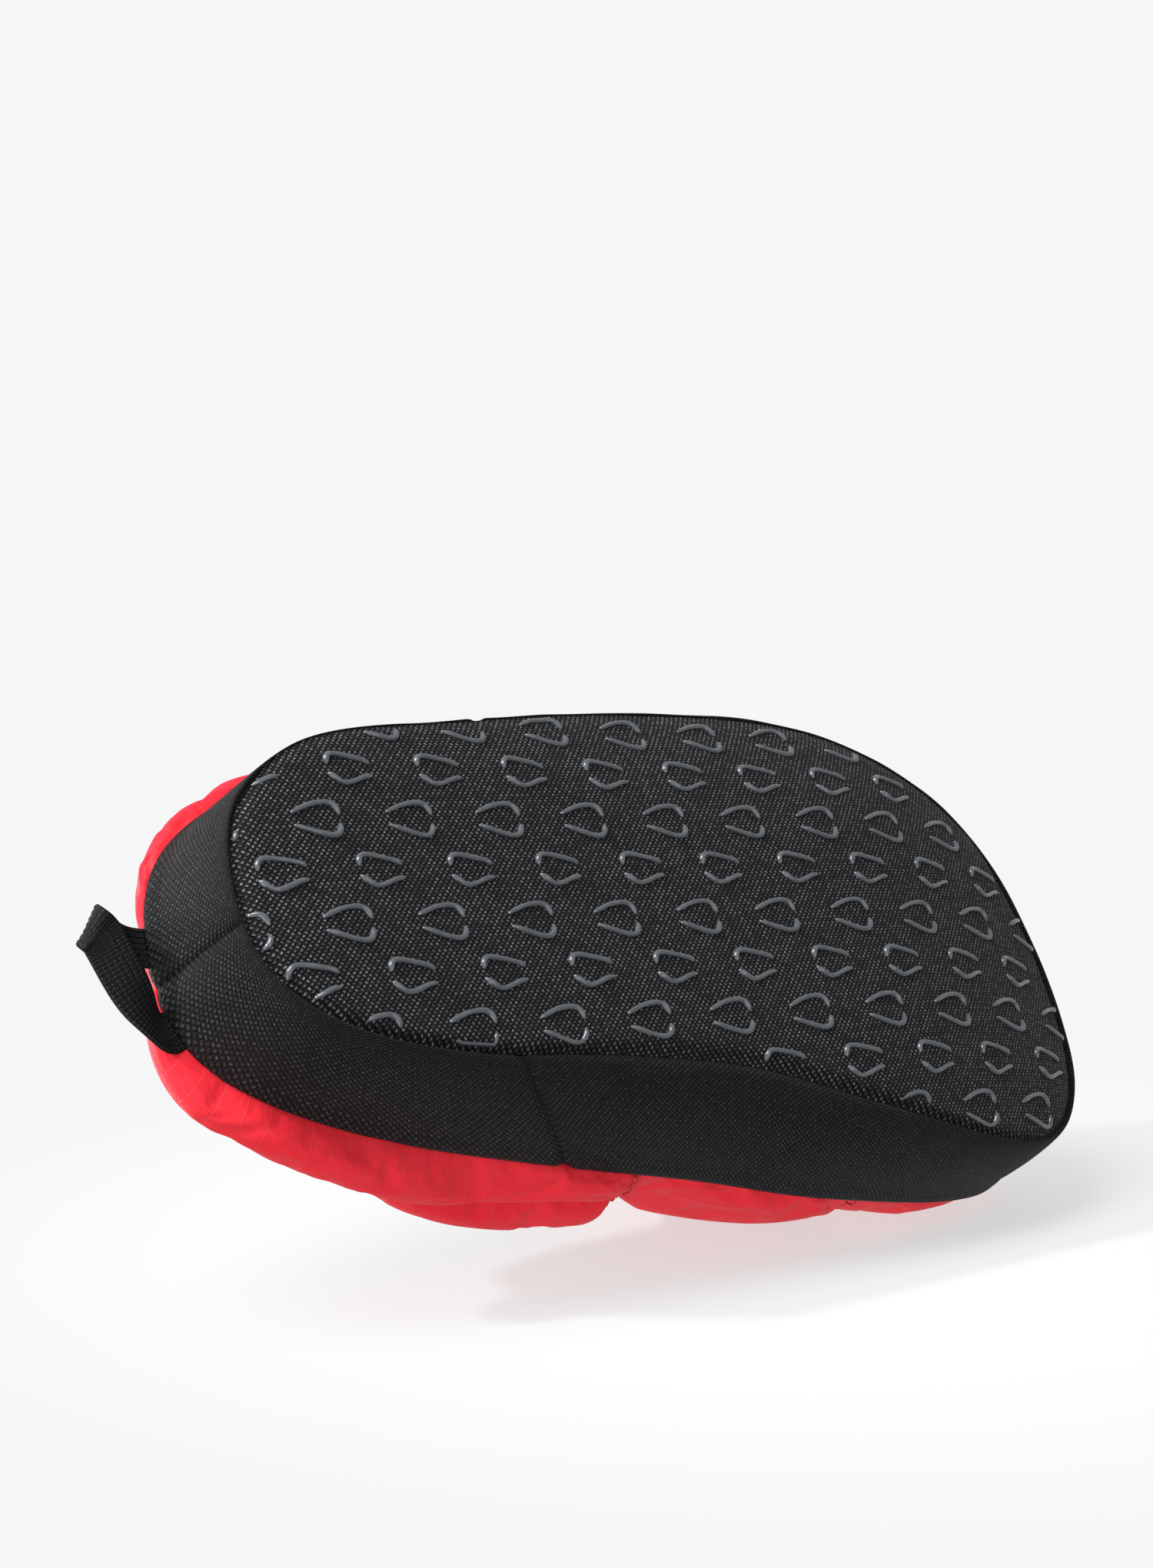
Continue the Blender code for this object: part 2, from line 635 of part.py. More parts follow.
def collar_point(along):
    """(point, normal, up) on the collar's edge: along 0 at the heel seam, and 1 back there."""
    sweep = (FRONT_MEDIAL - HEEL_SEAM, 1 - 2 * COLLAR_ANGLE / math.pi, HEEL_SEAM - FRONT_LATERAL)
    shares = COLLAR_PARTS
    if along < shares[0]:
        u = HEEL_SEAM + sweep[0] * along / shares[0]
        edge, below = quarter(u, 1.0), quarter(u, 0.97)
    elif along < shares[0] + shares[1]:
        across = COLLAR_ANGLE / math.pi + sweep[1] * (along - shares[0]) / shares[1]
        edge, below = vamp(0.0, across), vamp(0.03, across)
    else:
        u = FRONT_LATERAL + sweep[2] * (along - shares[0] - shares[1]) / shares[2]
        edge, below = quarter(u, 1.0), quarter(u, 0.97)
    up = edge[0] - below[0]
    return edge[0], edge[1], up / np.linalg.norm(up)


def build_binding(paint):
    """A soft piping on the collar's edge, over the ends of shell, fill and lining."""
    middle = (SHELL_SHEET + COLLAR_FILL + LINING_SHEET + 2 * CLEARANCE) / 2
    points = []
    for i in range(BINDING_POINTS):
        point, normal, up = collar_point(i / BINDING_POINTS)
        points.append(point - normal * middle + up * (BINDING_RADIUS + CLEARANCE))
    for _ in range(2):  # rounds the corners where quarters and vamp meet
        points = [(points[i - 1] + 2 * points[i] + points[(i + 1) % len(points)]) / 4 for i in range(len(points))]
    tube("collar_binding", paint["binding"], points, BINDING_RADIUS, True)


def loop_root(side):
    """(point, outward direction, width direction) of a sewn end of the loop: side -1 lateral, 1 medial."""
    u = HEEL_SEAM + side * LOOP_ROOT_SPACING / 2 / PERIMETER
    out = outward(u)
    along = np.cross(out, UP)
    return band_top(u) + out * LOOP_STANDOFF, out, along


def build_loop(paint):
    """The pull loop: one strip from sewn end to sewn end, turned over at its fold."""
    start, out_a, along_a = (Vector(v) for v in loop_root(-1))
    end, out_b, along_b = (Vector(v) for v in loop_root(1))
    fold = (start + end) / 2 + LOOP_REACH
    away = LOOP_REACH.normalized()
    across = away.cross(LOOP_FOLD_AXIS).normalized()
    if across.dot(start - end) < 0:
        across = -across
    along_a = along_a if along_a.dot(LOOP_FOLD_AXIS) > 0 else -along_a
    along_b = along_b if along_b.dot(LOOP_FOLD_AXIS) > 0 else -along_b

    def leg(root, out, turn, side):
        """Points and width directions from a sewn end to the fold's start."""
        near = fold + across * side * LOOP_FOLD_GAP / 2
        rows = []
        for i in range(LOOP_POINTS // 2):
            t = i / (LOOP_POINTS // 2 - 1)
            h = (2 * t**3 - 3 * t**2 + 1, t**3 - 2 * t**2 + t, 3 * t**2 - 2 * t**3, t**3 - t**2)
            point = root * h[0] + out * LOOP_ROOT_PULL * h[1] + near * h[2] + away * LOOP_FOLD_PULL * h[3]
            rows.append((point, turn.lerp(LOOP_FOLD_AXIS, smooth(t * 1.1))))
        return rows

    rows = leg(start, out_a, along_a, 1)
    for angle in (math.radians(a) for a in (45, 90, 135)):
        around_fold = across * math.cos(angle) + away * math.sin(angle)
        rows.append((fold + around_fold * LOOP_FOLD_GAP / 2, LOOP_FOLD_AXIS))
    rows += leg(end, out_b, along_b, -1)[::-1]

    def place(a, b, side):
        i = round(a * (len(rows) - 1))
        point, width = rows[i]
        ahead = rows[min(i + 1, len(rows) - 1)][0] - rows[max(i - 1, 0)][0]
        width = (width - ahead * width.dot(ahead) / ahead.length_squared).normalized()
        face = ahead.cross(width).normalized()
        return point + width * (b - 0.5) * WEBBING_WIDTH + face * (side - 0.5) * WEBBING_THICKNESS

    block("heel_pull_loop", paint["webbing"], place, (len(rows) - 1, 2))


def main():
    clear_scene()
    collection = bpy.data.collections.new("camp_slipper")
    bpy.context.scene.collection.children.link(collection)
    paint = {
        "outsole": make_material("woven polyester outsole, black", (0.012, 0.012, 0.013), 0.75),
        "band": make_material("woven polyester band, black", (0.014, 0.014, 0.015), 0.80),
        "board": make_material("fibre board, brown", (0.25, 0.17, 0.09), 0.90),
        "foam": make_material("EVA foam, grey", (0.10, 0.10, 0.11), 0.85),
        "fleece": make_material("fleece, charcoal", (0.03, 0.03, 0.035), 1.0),
        "shell": make_material("ripstop nylon, red", (0.70, 0.03, 0.045), 0.50),
        "fill": make_material("polyester fill, white", (0.75, 0.75, 0.73), 1.0),
        "lining": make_material("fleece lining, charcoal", (0.03, 0.03, 0.035), 1.0),
        "binding": make_material("knitted binding, black", (0.015, 0.015, 0.016), 0.85),
        "webbing": make_material("ribbed webbing, black", (0.015, 0.015, 0.016), 0.70),
    }
    build_sole(paint)
    build_band(paint)
    build_lower_lining(paint)
    build_quarters(paint)
    build_vamp(paint)
    build_binding(paint)
    build_loop(paint)


main()
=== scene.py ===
"""Looks of an insulated camp slipper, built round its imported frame.

Puffy ripstop panels, a woven band and outsole with silicone grip prints, fleece inside, and a ribbed pull
loop at the heel. +X points to the toe, +Y to the medial side and +Z up. Units are metres.
"""

import math

import bmesh
import bpy
import numpy as np
from mathutils import Matrix, Vector, noise


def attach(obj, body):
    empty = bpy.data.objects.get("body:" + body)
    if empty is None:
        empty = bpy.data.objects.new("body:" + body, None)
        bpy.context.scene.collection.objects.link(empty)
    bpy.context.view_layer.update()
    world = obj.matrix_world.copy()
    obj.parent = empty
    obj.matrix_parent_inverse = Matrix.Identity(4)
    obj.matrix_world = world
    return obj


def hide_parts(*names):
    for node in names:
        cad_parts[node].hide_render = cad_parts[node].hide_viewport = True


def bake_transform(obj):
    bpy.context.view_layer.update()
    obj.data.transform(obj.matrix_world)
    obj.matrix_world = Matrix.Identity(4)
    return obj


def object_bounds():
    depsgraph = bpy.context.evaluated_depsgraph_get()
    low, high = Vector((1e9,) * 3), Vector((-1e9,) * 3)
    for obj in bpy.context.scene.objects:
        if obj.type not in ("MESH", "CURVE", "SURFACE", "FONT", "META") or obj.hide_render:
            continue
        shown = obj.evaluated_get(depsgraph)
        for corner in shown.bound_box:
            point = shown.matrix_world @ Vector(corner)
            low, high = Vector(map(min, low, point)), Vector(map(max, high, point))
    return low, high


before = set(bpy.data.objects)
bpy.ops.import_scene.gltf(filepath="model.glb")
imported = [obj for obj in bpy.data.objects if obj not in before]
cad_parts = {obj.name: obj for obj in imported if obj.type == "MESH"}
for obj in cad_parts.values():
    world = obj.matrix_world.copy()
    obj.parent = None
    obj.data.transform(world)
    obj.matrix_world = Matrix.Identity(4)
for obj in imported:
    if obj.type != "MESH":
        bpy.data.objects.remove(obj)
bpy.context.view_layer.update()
MM = 0.001

# Sole
SOLE_LENGTH = 0.269  # from the heel seam to the toe seam
SOLE_WIDTH = 0.112  # across the ball, from seam to seam
TOE_BREAK = 0.042  # where the toe spring starts
TOE_SPRING = 0.0175  # how far the sole has risen at its toe end
HEEL_BREAK = 0.106  # behind this distance from the middle, the heel rises
HEEL_RISE = 0.0035
FLAT_HALF_WIDTH = 0.019  # of the underside's flat middle
ROLL_MEDIAL = 2.6  # how the underside rises to its seam: height over the square of the way out, in 1/m
ROLL_LATERAL = 4.6
# The seam between outsole and band, from the heel's tip by the medial side: share of the length from the
# heel, share of the width from the axis, and how far the band stands out from the seam there
SEAM_OUTLINE = (
    (0.000, 0.036, 0.0028),
    (0.018, 0.223, 0.0045),
    (0.082, 0.335, 0.0055),
    (0.204, 0.374, 0.0090),
    (0.357, 0.362, 0.0145),
    (0.513, 0.371, 0.0160),
    (0.669, 0.438, 0.0125),
    (0.814, 0.488, 0.0055),
    (0.918, 0.458, 0.0025),
    (0.981, 0.326, 0.0040),
    (1.000, 0.112, 0.0045),
    (0.980, -0.125, 0.0040),
    (0.915, -0.360, 0.0035),
    (0.804, -0.500, 0.0035),
    (0.660, -0.545, 0.0035),
    (0.467, -0.500, 0.0030),
    (0.273, -0.410, 0.0010),
    (0.110, -0.318, 0.0004),
    (0.021, -0.165, 0.0014),
)

# Sheets, from the ground up and from the outside in
OUTSOLE_SHEET = 0.0012
MIDSOLE_TOP = 0.0128  # height of the foam's flat top over the ground
INSOLE_BOARD = 0.0012
FOOTBED_FOAM = 0.0060
FOOTBED_FLEECE = 0.0024
BAND_SHEET = 0.0012
BAND_FOAM = 0.0042
SHELL_SHEET = 0.0008
LINING_SHEET = 0.0012
COLLAR_FILL = 0.0014  # what is left of the fill at the collar's edge
CLEARANCE = 0.0003  # between neighbours that touch
LAYER_GAP = 0.0006  # between touching layers whose cells differ

# Band
BAND_HEIGHT = 0.033  # of its top edge over the sole
LEAST_TURN = 0.0025  # the band's lower edge turns under the slipper by at least this
BAND_SEAM_MEDIAL = -0.067  # where the heel pieces meet the forefoot piece, on the sole's seam
BAND_SEAM_LATERAL = -0.055
BAND_SEAM_SLANT = 0.032  # the same seams lean forward by this at the band's top
HEEL_SEAM_OFFSET = 0.0095  # of the heel seam from the heel's tip, round to the medial side

# Upper
QUARTER_FRONT = -0.014  # where the vamp meets the quarters, at the band
THROAT = 0.018  # front edge of the foot's opening
HEEL_HUB = -0.071  # the heel's arches all lean towards this point of the slipper's middle
HEEL_ARCH = 0.052  # height of the arches over the band, at the heel
THROAT_ARCH = 0.062  # and at the throat
HEEL_LEAN = 1.45  # over 1, an arch runs straighter from the band to the collar
HEEL_LEAN_START = -0.050  # the arches start to lean like the heel's here
HEEL_LEAN_LENGTH = 0.070
SIDE_LEAN = 0.84
VAMP_LEAN = 1.14
TOE_LEAN = 1.50
COLLAR_ANGLE = math.radians(42)  # where the arches stop at the opening
TOE_CORNER = 0.026  # half the length of the vamp's front edge, along the band
TOE_FULLNESS = 3.0  # how long the toe keeps its height before it drops
TOE_TAPER = 0.42  # how much lower than the throat it has become there
TOE_START = 0.6  # the share of the vamp's length where its rows start to bend round the toe
QUILT_SHARE_BACK = 0.62  # the quarters' quilting line at the heel, as a share of the way up to the collar
QUILT_SHARE_FRONT = 0.45  # and at the vamp
VAMP_SEAM = 0.475  # the seam between vamp and toe, as a share of the way from the throat
VAMP_PUFF = 0.0042  # how far each panel stands out over its stitching
TOE_PUFF = 0.0020
BINDING_RADIUS = 0.0026
COLLAR_FADE = 0.6  # the fill thins out from this share of the way up to the collar
THROAT_FADE = 0.16  # and this far along the vamp from the throat

# Pull loop
WEBBING_WIDTH = 0.010
WEBBING_THICKNESS = 0.0012
LOOP_ROOT_SPACING = 0.0190  # between the middles of the two sewn ends, round the heel
LOOP_REACH = Vector((-0.0178, -0.0098, -0.0075))  # from between the roots to the fold
LOOP_FOLD_AXIS = Vector((-0.24, 0.72, 0.65)).normalized()
LOOP_FOLD_GAP = 0.0036  # between the middles of the two legs at the fold
LOOP_ROOT_PULL = 0.018  # how far the legs run straight out of the band
LOOP_FOLD_PULL = 0.012  # and straight into the fold
LOOP_STANDOFF = 0.0016  # of the middle of each sewn end from the band's edge

OUTLINE_STEPS = 720  # fineness of the outline that every piece follows

# ---- The slipper's surface ------------------------------------------------------------------------------


def smooth(t):
    """0 to 1 with level ends."""
    t = min(max(t, 0.0), 1.0)
    return t * t * (3 - 2 * t)


def mix(a, b, t):
    return a + (b - a) * t


def closed_spline(points, steps):
    """A smooth closed curve through the points, as steps rows spaced evenly along it, and its length."""
    count = len(points)
    dense = []
    for i in range(count):
        p0, p1, p2, p3 = (np.array(points[(i + k - 1) % count]) for k in range(4))
        for t in np.linspace(0, 1, 60, endpoint=False):
            dense.append(
                0.5 * (2 * p1 + (p2 - p0) * t + (2 * p0 - 5 * p1 + 4 * p2 - p3) * t**2
                       + (3 * p1 - p0 - 3 * p2 + p3) * t**3)
            )
    dense = np.array(dense + dense[:1])
    steps_between = np.linalg.norm(np.diff(dense[:, :2], axis=0), axis=1)
    along = np.concatenate([[0], np.cumsum(steps_between)])
    at = np.linspace(0, along[-1], steps, endpoint=False)
    return np.stack([np.interp(at, along, column) for column in dense.T], axis=1), along[-1]


SEAM, PERIMETER = closed_spline(
    [((along - 0.5) * SOLE_LENGTH, across * SOLE_WIDTH, out) for along, across, out in SEAM_OUTLINE],
    OUTLINE_STEPS,
)
TANGENT = np.roll(SEAM, -6, axis=0)[:, :2] - np.roll(SEAM, 6, axis=0)[:, :2]
TANGENT /= np.linalg.norm(TANGENT, axis=1)[:, None]
OUTWARD = np.stack([-TANGENT[:, 1], TANGENT[:, 0]], axis=1)
TOE_SHARE = float(np.argmax(SEAM[:, 0])) / OUTLINE_STEPS
HEEL_SEAM = HEEL_SEAM_OFFSET / PERIMETER
UP = np.array([0.0, 0.0, 1.0])


def around(table, u):
    """A row of an outline table at share u of the way round."""
    at = (u % 1.0) * OUTLINE_STEPS
    i = int(at) % OUTLINE_STEPS
    return mix(table[i], table[(i + 1) % OUTLINE_STEPS], at - int(at))


def outward(u):
    """The level direction out of the slipper at share u."""
    n = around(OUTWARD, u)
    return np.array([*n / np.linalg.norm(n), 0.0])


def sole_height(x):
    """Height of the sole's underside along the middle of the slipper."""
    if x > TOE_BREAK:
        return TOE_SPRING * ((x - TOE_BREAK) / (SOLE_LENGTH / 2 - TOE_BREAK)) ** 2
    if x < -HEEL_BREAK:
        return HEEL_RISE * ((x + HEEL_BREAK) / (SOLE_LENGTH / 2 - HEEL_BREAK)) ** 2
    return 0.0


def underside(x, y):
    """The outsole's underside, flat in the middle and rolling up to its seam."""
    roll = ROLL_MEDIAL if y > 0 else ROLL_LATERAL
    return sole_height(x) + roll * max(abs(y) - FLAT_HALF_WIDTH, 0.0) ** 2


def seam_point(u):
    """The seam between outsole and band."""
    x, y, _ = around(SEAM, u)
    return np.array([x, y, underside(x, y)])


def band_top(u):
    """The band's top edge, where the upper starts."""
    x, y, out = around(SEAM, u)
    return np.array([x, y, sole_height(x) + BAND_HEIGHT]) + outward(u) * out


def share_at(x, lateral, line=band_top):
    """The share round the outline where that side's line reaches x."""
    low, high = (0.0, TOE_SHARE) if not lateral else (1.0, TOE_SHARE)
    for _ in range(40):
        middle = (low + high) / 2
        if line(middle)[0] < x:
            low = middle
        else:
            high = middle
    return (low + high) / 2


FRONT_MEDIAL = share_at(QUARTER_FRONT, False)
FRONT_LATERAL = share_at(QUARTER_FRONT, True) - 1
HUB_Y = 0.5 * (band_top(share_at(HEEL_HUB, False))[1] + band_top(share_at(HEEL_HUB, True))[1])
FRONT_FOOT = 0.5 * (band_top(FRONT_MEDIAL) + band_top(FRONT_LATERAL))


def band(u, turn):
    """(point, normal) on the band's face: turn 0 at the outsole's seam, and 1 at the band's top."""
    low, high = seam_point(u), band_top(u)
    angle = turn * math.pi / 2
    point = np.array([*mix(low[:2], high[:2], math.sin(angle)), mix(low[2], high[2], 1 - math.cos(angle))])
    out = max(np.linalg.norm(high[:2] - low[:2]), LEAST_TURN)
    normal = math.sin(angle) * (high[2] - low[2]) * outward(u) - math.cos(angle) * out * UP
    return point, normal / np.linalg.norm(normal)


def spine(row):
    """The vamp's highest line: row 0 at the throat, and 1 on the band at the toe."""
    tip = band_top(TOE_SHARE)
    share = row**0.9
    drop = math.sqrt(max(1 - share**TOE_FULLNESS, 0)) * (1 - TOE_TAPER * share)
    height = mix(tip[2], FRONT_FOOT[2] + THROAT_ARCH, drop)
    return np.array([mix(THROAT, tip[0], share), mix(FRONT_FOOT[1], tip[1], share), height])


def spine_normal(row):
    ahead, behind = spine(min(row + 0.01, 1.0)), spine(max(row - 0.01, 0.0))
    along = ahead - behind
    normal = np.array([-along[2], 0, along[0]])
    return normal / np.linalg.norm(normal)


def arch(base, foot, apex, angle, lean):
    """A point of the arch that springs from base over foot to apex."""
    return foot + math.cos(angle) ** lean * (base - foot) + max(math.sin(angle), 0.0) ** lean * (apex - foot)


def quarter(u, share):
    """(point, normal) on the quarters' stitched-down face: share 0 at the band and 1 at the collar."""
    base = band_top(u)
    x = max(base[0], HEEL_HUB)
    along = (x - HEEL_HUB) / (QUARTER_FRONT - HEEL_HUB)
    forward = smooth(along)
    foot = np.array([x, mix(HUB_Y, FRONT_FOOT[1], along), base[2]])
    rise = mix(HEEL_ARCH, THROAT_ARCH, forward)
    apex = foot + np.array([(THROAT - QUARTER_FRONT) * forward, 0, rise])
    heel = smooth((HEEL_LEAN_START - base[0]) / HEEL_LEAN_LENGTH)
    lean = mix(mix(SIDE_LEAN, VAMP_LEAN, forward), HEEL_LEAN, heel)
    angle = share * COLLAR_ANGLE
    top = mix(UP, spine_normal(0), forward)
    normal = math.cos(angle) * outward(u) + math.sin(angle) * top / np.linalg.norm(top)
    return arch(base, foot, apex, angle, lean), normal / np.linalg.norm(normal)


def vamp(row, across):
    """(point, normal) on the vamp's stitched-down face: across 0 at the medial band, 1 at the lateral."""
    corner = TOE_CORNER / PERIMETER
    lateral = across > 0.5
    angle = math.pi * min(across, 1 - across)
    medial_foot = mix(FRONT_MEDIAL, TOE_SHARE - corner, row)
    lateral_foot = mix(FRONT_LATERAL + 1, TOE_SHARE + corner, row)
    u, other = (lateral_foot, medial_foot) if lateral else (medial_foot, lateral_foot)
    foot = 0.5 * (band_top(u) + band_top(other))
    point = arch(band_top(u), foot, spine(row), angle, mix(VAMP_LEAN, TOE_LEAN, row))
    side = outward(u)
    if row > TOE_START:  # the front edge follows the band round the toe
        bend = smooth((row - TOE_START) / (1 - TOE_START))
        edge = mix(TOE_SHARE - corner, TOE_SHARE + corner, across)
        last = band_top(TOE_SHARE + corner if lateral else TOE_SHARE - corner)
        last_foot = 0.5 * (band_top(TOE_SHARE + corner) + band_top(TOE_SHARE - corner))
        point = point + (band_top(edge) - arch(last, last_foot, spine(1), angle, TOE_LEAN)) * bend
        side = mix(side, outward(edge), bend)
    normal = math.cos(angle) * side + math.sin(angle) * spine_normal(row)
    return point, normal / np.linalg.norm(normal)


def pillow(share, firmness):
    """0 at both ends of a channel and 1 along most of it."""
    return math.sqrt(max(1 - abs(2 * share - 1) ** firmness, 0.0))


def quarter_run(u):
    """How far u is along its quarter: 0 at the heel seam, and 1 at the vamp."""
    front = FRONT_MEDIAL if u > HEEL_SEAM else FRONT_LATERAL
    return min(max((u - HEEL_SEAM) / (front - HEEL_SEAM), 0.0), 1.0)


def quarter_share(u, rise):
    """The share of the way up the quarter, with the quilting line at rise 0.5."""
    line = mix(QUILT_SHARE_BACK, QUILT_SHARE_FRONT, smooth(quarter_run(u)))
    return 2 * rise * line if rise < 0.5 else mix(line, 1.0, 2 * rise - 1)


def fill_depth(share):
    """Depth of the fill's inner face under the stitched-down face: less towards the collar's edge."""
    full, least = BAND_SHEET + LAYER_GAP + BAND_FOAM, SHELL_SHEET + CLEARANCE + COLLAR_FILL
    return mix(full, least, smooth((share - COLLAR_FADE) / (1 - COLLAR_FADE)))


def vamp_fill_depth(row, across):
    """The same on the vamp, where only the middle of its back edge is the collar."""
    rise = math.pi * min(across, 1 - across) / COLLAR_ANGLE
    over_collar = smooth((rise - COLLAR_FADE) / (1 - COLLAR_FADE))
    near_throat = smooth(1 - row / THROAT_FADE)
    return mix(fill_depth(0), fill_depth(1), over_collar * near_throat)


# ---- Meshes ---------------------------------------------------------------------------------------------

collection = bpy.data.collections.new("slipper_looks")
bpy.context.scene.collection.children.link(collection)


def finished(name, bm, paint, body="slipper", replaces=()):
    """A piece from a bmesh, smooth, painted, riding on its body, if it has one, in place of its CAD nodes."""
    if bm.calc_volume(signed=True) < 0:
        bmesh.ops.reverse_faces(bm, faces=bm.faces)
    mesh = bpy.data.meshes.new(name)
    bm.to_mesh(mesh)
    bm.free()
    mesh.shade_smooth()
    mesh.materials.append(paint)
    piece = bpy.data.objects.new(name, mesh)
    collection.objects.link(piece)
    if body:
        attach(piece, body)
    if replaces:
        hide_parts(*replaces)
    return piece


def closed_sheet(place, cells, size):
    """A bmesh of a sheet with two faces and a rim. place(a, b, side) gives its points, as in the CAD model.

    The first (cells[0] + 1) * (cells[1] + 1) vertices are its outer face, row by row, and UVs are in metres.
    """
    across, up = cells
    bm = bmesh.new()
    uv = bm.loops.layers.uv.new("metres")
    faces = []
    for side in (0, 1):
        faces.append([[bm.verts.new(place(i / across, j / up, side)) for i in range(across + 1)]
                      for j in range(up + 1)])

    def quad(*corners):
        face = bm.faces.new([faces[side][j][i] for side, i, j in corners])
        for loop, (side, i, j) in zip(face.loops, corners):
            loop[uv].uv = (i / across * size[0], j / up * size[1])

    for j in range(up):
        for i in range(across):
            quad((0, i, j), (0, i + 1, j), (0, i + 1, j + 1), (0, i, j + 1))
            quad((1, i, j), (1, i, j + 1), (1, i + 1, j + 1), (1, i + 1, j))
    for i in range(across):
        quad((0, i, 0), (1, i, 0), (1, i + 1, 0), (0, i + 1, 0))
        quad((0, i, up), (0, i + 1, up), (1, i + 1, up), (1, i, up))
    for j in range(up):
        quad((0, 0, j), (0, 0, j + 1), (1, 0, j + 1), (1, 0, j))
        quad((0, across, j), (1, across, j), (1, across, j + 1), (0, across, j + 1))
    bm.verts.index_update()
    return bm


def tube_mesh(bm, path, radii, sides=8, flat=1.0, up=None):
    """Adds a tube with closed ends along path to bm. flat squeezes it along up, where that is given."""
    rings = []
    for k, (point, radius) in enumerate(zip(path, radii)):
        along = (path[min(k + 1, len(path) - 1)] - path[max(k - 1, 0)]).normalized()
        lift = (up[k] if up else Vector((0.3, 0.5, 0.8))).normalized()
        side = along.cross(lift).normalized()
        lift = side.cross(along)
        ring = []
        for s in range(sides):
            turn = 2 * math.pi * s / sides
            ring.append(bm.verts.new(point + (side * math.cos(turn) + lift * flat * math.sin(turn)) * radius))
        rings.append(ring)
    for near, far in zip(rings, rings[1:]):
        for s in range(sides):
            bm.faces.new((near[s], near[(s + 1) % sides], far[(s + 1) % sides], far[s]))
    bm.faces.new(rings[0][::-1])
    bm.faces.new(rings[-1])


def wobble(point, size, depth, seed=0.0):
    """A smooth unevenness of the cloth, up to depth, with swellings of about that size."""
    return depth * noise.noise(Vector(point) / size + Vector((seed, 0, 0)))


def edge_dip(share, length, depth, reach):
    """How far a sheet has turned in near its two ends, to depth over reach, on a run of that length."""
    away = min(share, 1 - share) * length
    return depth * (1 - smooth(away / reach)) ** 1.5


# ---- Finishes -------------------------------------------------------------------------------------------


def linear(hex_colour):
    """A sRGB hex colour as the linear one that shaders take."""
    channels = [int(hex_colour[i:i + 2], 16) / 255 for i in (1, 3, 5)]
    return (*[c / 12.92 if c <= 0.04045 else ((c + 0.055) / 1.055) ** 2.4 for c in channels], 1.0)


def add(tree, kind, inputs=None, **settings):
    """Adds a node with its settings. inputs maps a socket to a value, or to the output linked to it."""
    made = tree.nodes.new(kind)
    for key, value in settings.items():
        setattr(made, key, value)
    for key, value in (inputs or {}).items():
        if isinstance(value, bpy.types.NodeSocket):
            tree.links.new(value, made.inputs[key])
        else:
            made.inputs[key].default_value = value
    return made


def start_finish(name, roughness, **sockets):
    """A material with its Principled shader and the numbers that are the same all over."""
    material = bpy.data.materials.new(name)
    material.use_nodes = True
    shader = material.node_tree.nodes["Principled BSDF"]
    shader.inputs["Roughness"].default_value = roughness
    shader.inputs["Metallic"].default_value = 0.0
    for socket, value in sockets.items():
        shader.inputs[socket.replace("_", " ")].default_value = value
    return material, material.node_tree, shader


WEAVE = 1.15 * MM  # between yarns of outsole and band
YARN_RELIEF = 0.45 * MM  # their height


def turned_uv(tree, turn):
    """The piece's own cloth coordinates in metres, with the weave turned by that many degrees."""
    flat = add(tree, "ShaderNodeUVMap", uv_map="metres").outputs["UV"]
    return add(tree, "ShaderNodeMapping", {"Vector": flat, "Rotation": (0, 0, math.radians(turn))}).outputs[0]


def woven(tree, where, pitch):
    """(height, chance) of a plain weave: threads pass over each other in turn, pitch metres apart."""
    across = add(tree, "ShaderNodeTexWave", {"Vector": where, "Scale": math.pi / (10 * pitch)},
                 bands_direction="X").outputs["Fac"]
    along = add(tree, "ShaderNodeTexWave", {"Vector": where, "Scale": math.pi / (10 * pitch)},
                bands_direction="Y").outputs["Fac"]
    over = add(tree, "ShaderNodeTexChecker", {"Vector": where, "Scale": 1 / pitch}).outputs["Fac"]
    soft_across = add(tree, "ShaderNodeMath", {0: across, 1: 0.35}, operation="POWER").outputs[0]
    soft_along = add(tree, "ShaderNodeMath", {0: along, 1: 0.35}, operation="POWER").outputs[0]
    warp = add(tree, "ShaderNodeMath", {0: across, 1: soft_along}, operation="MULTIPLY").outputs[0]
    weft = add(tree, "ShaderNodeMath", {0: along, 1: soft_across}, operation="MULTIPLY").outputs[0]
    height = add(tree, "ShaderNodeMix", {0: over, 2: warp, 3: weft}).outputs[0]
    cell = add(tree, "ShaderNodeVectorMath", {0: where, 1: (pitch,) * 3}, operation="SNAP").outputs[0]
    chance = add(tree, "ShaderNodeTexWhiteNoise", {"Vector": cell}, noise_dimensions="2D")
    return height, chance.outputs["Value"]


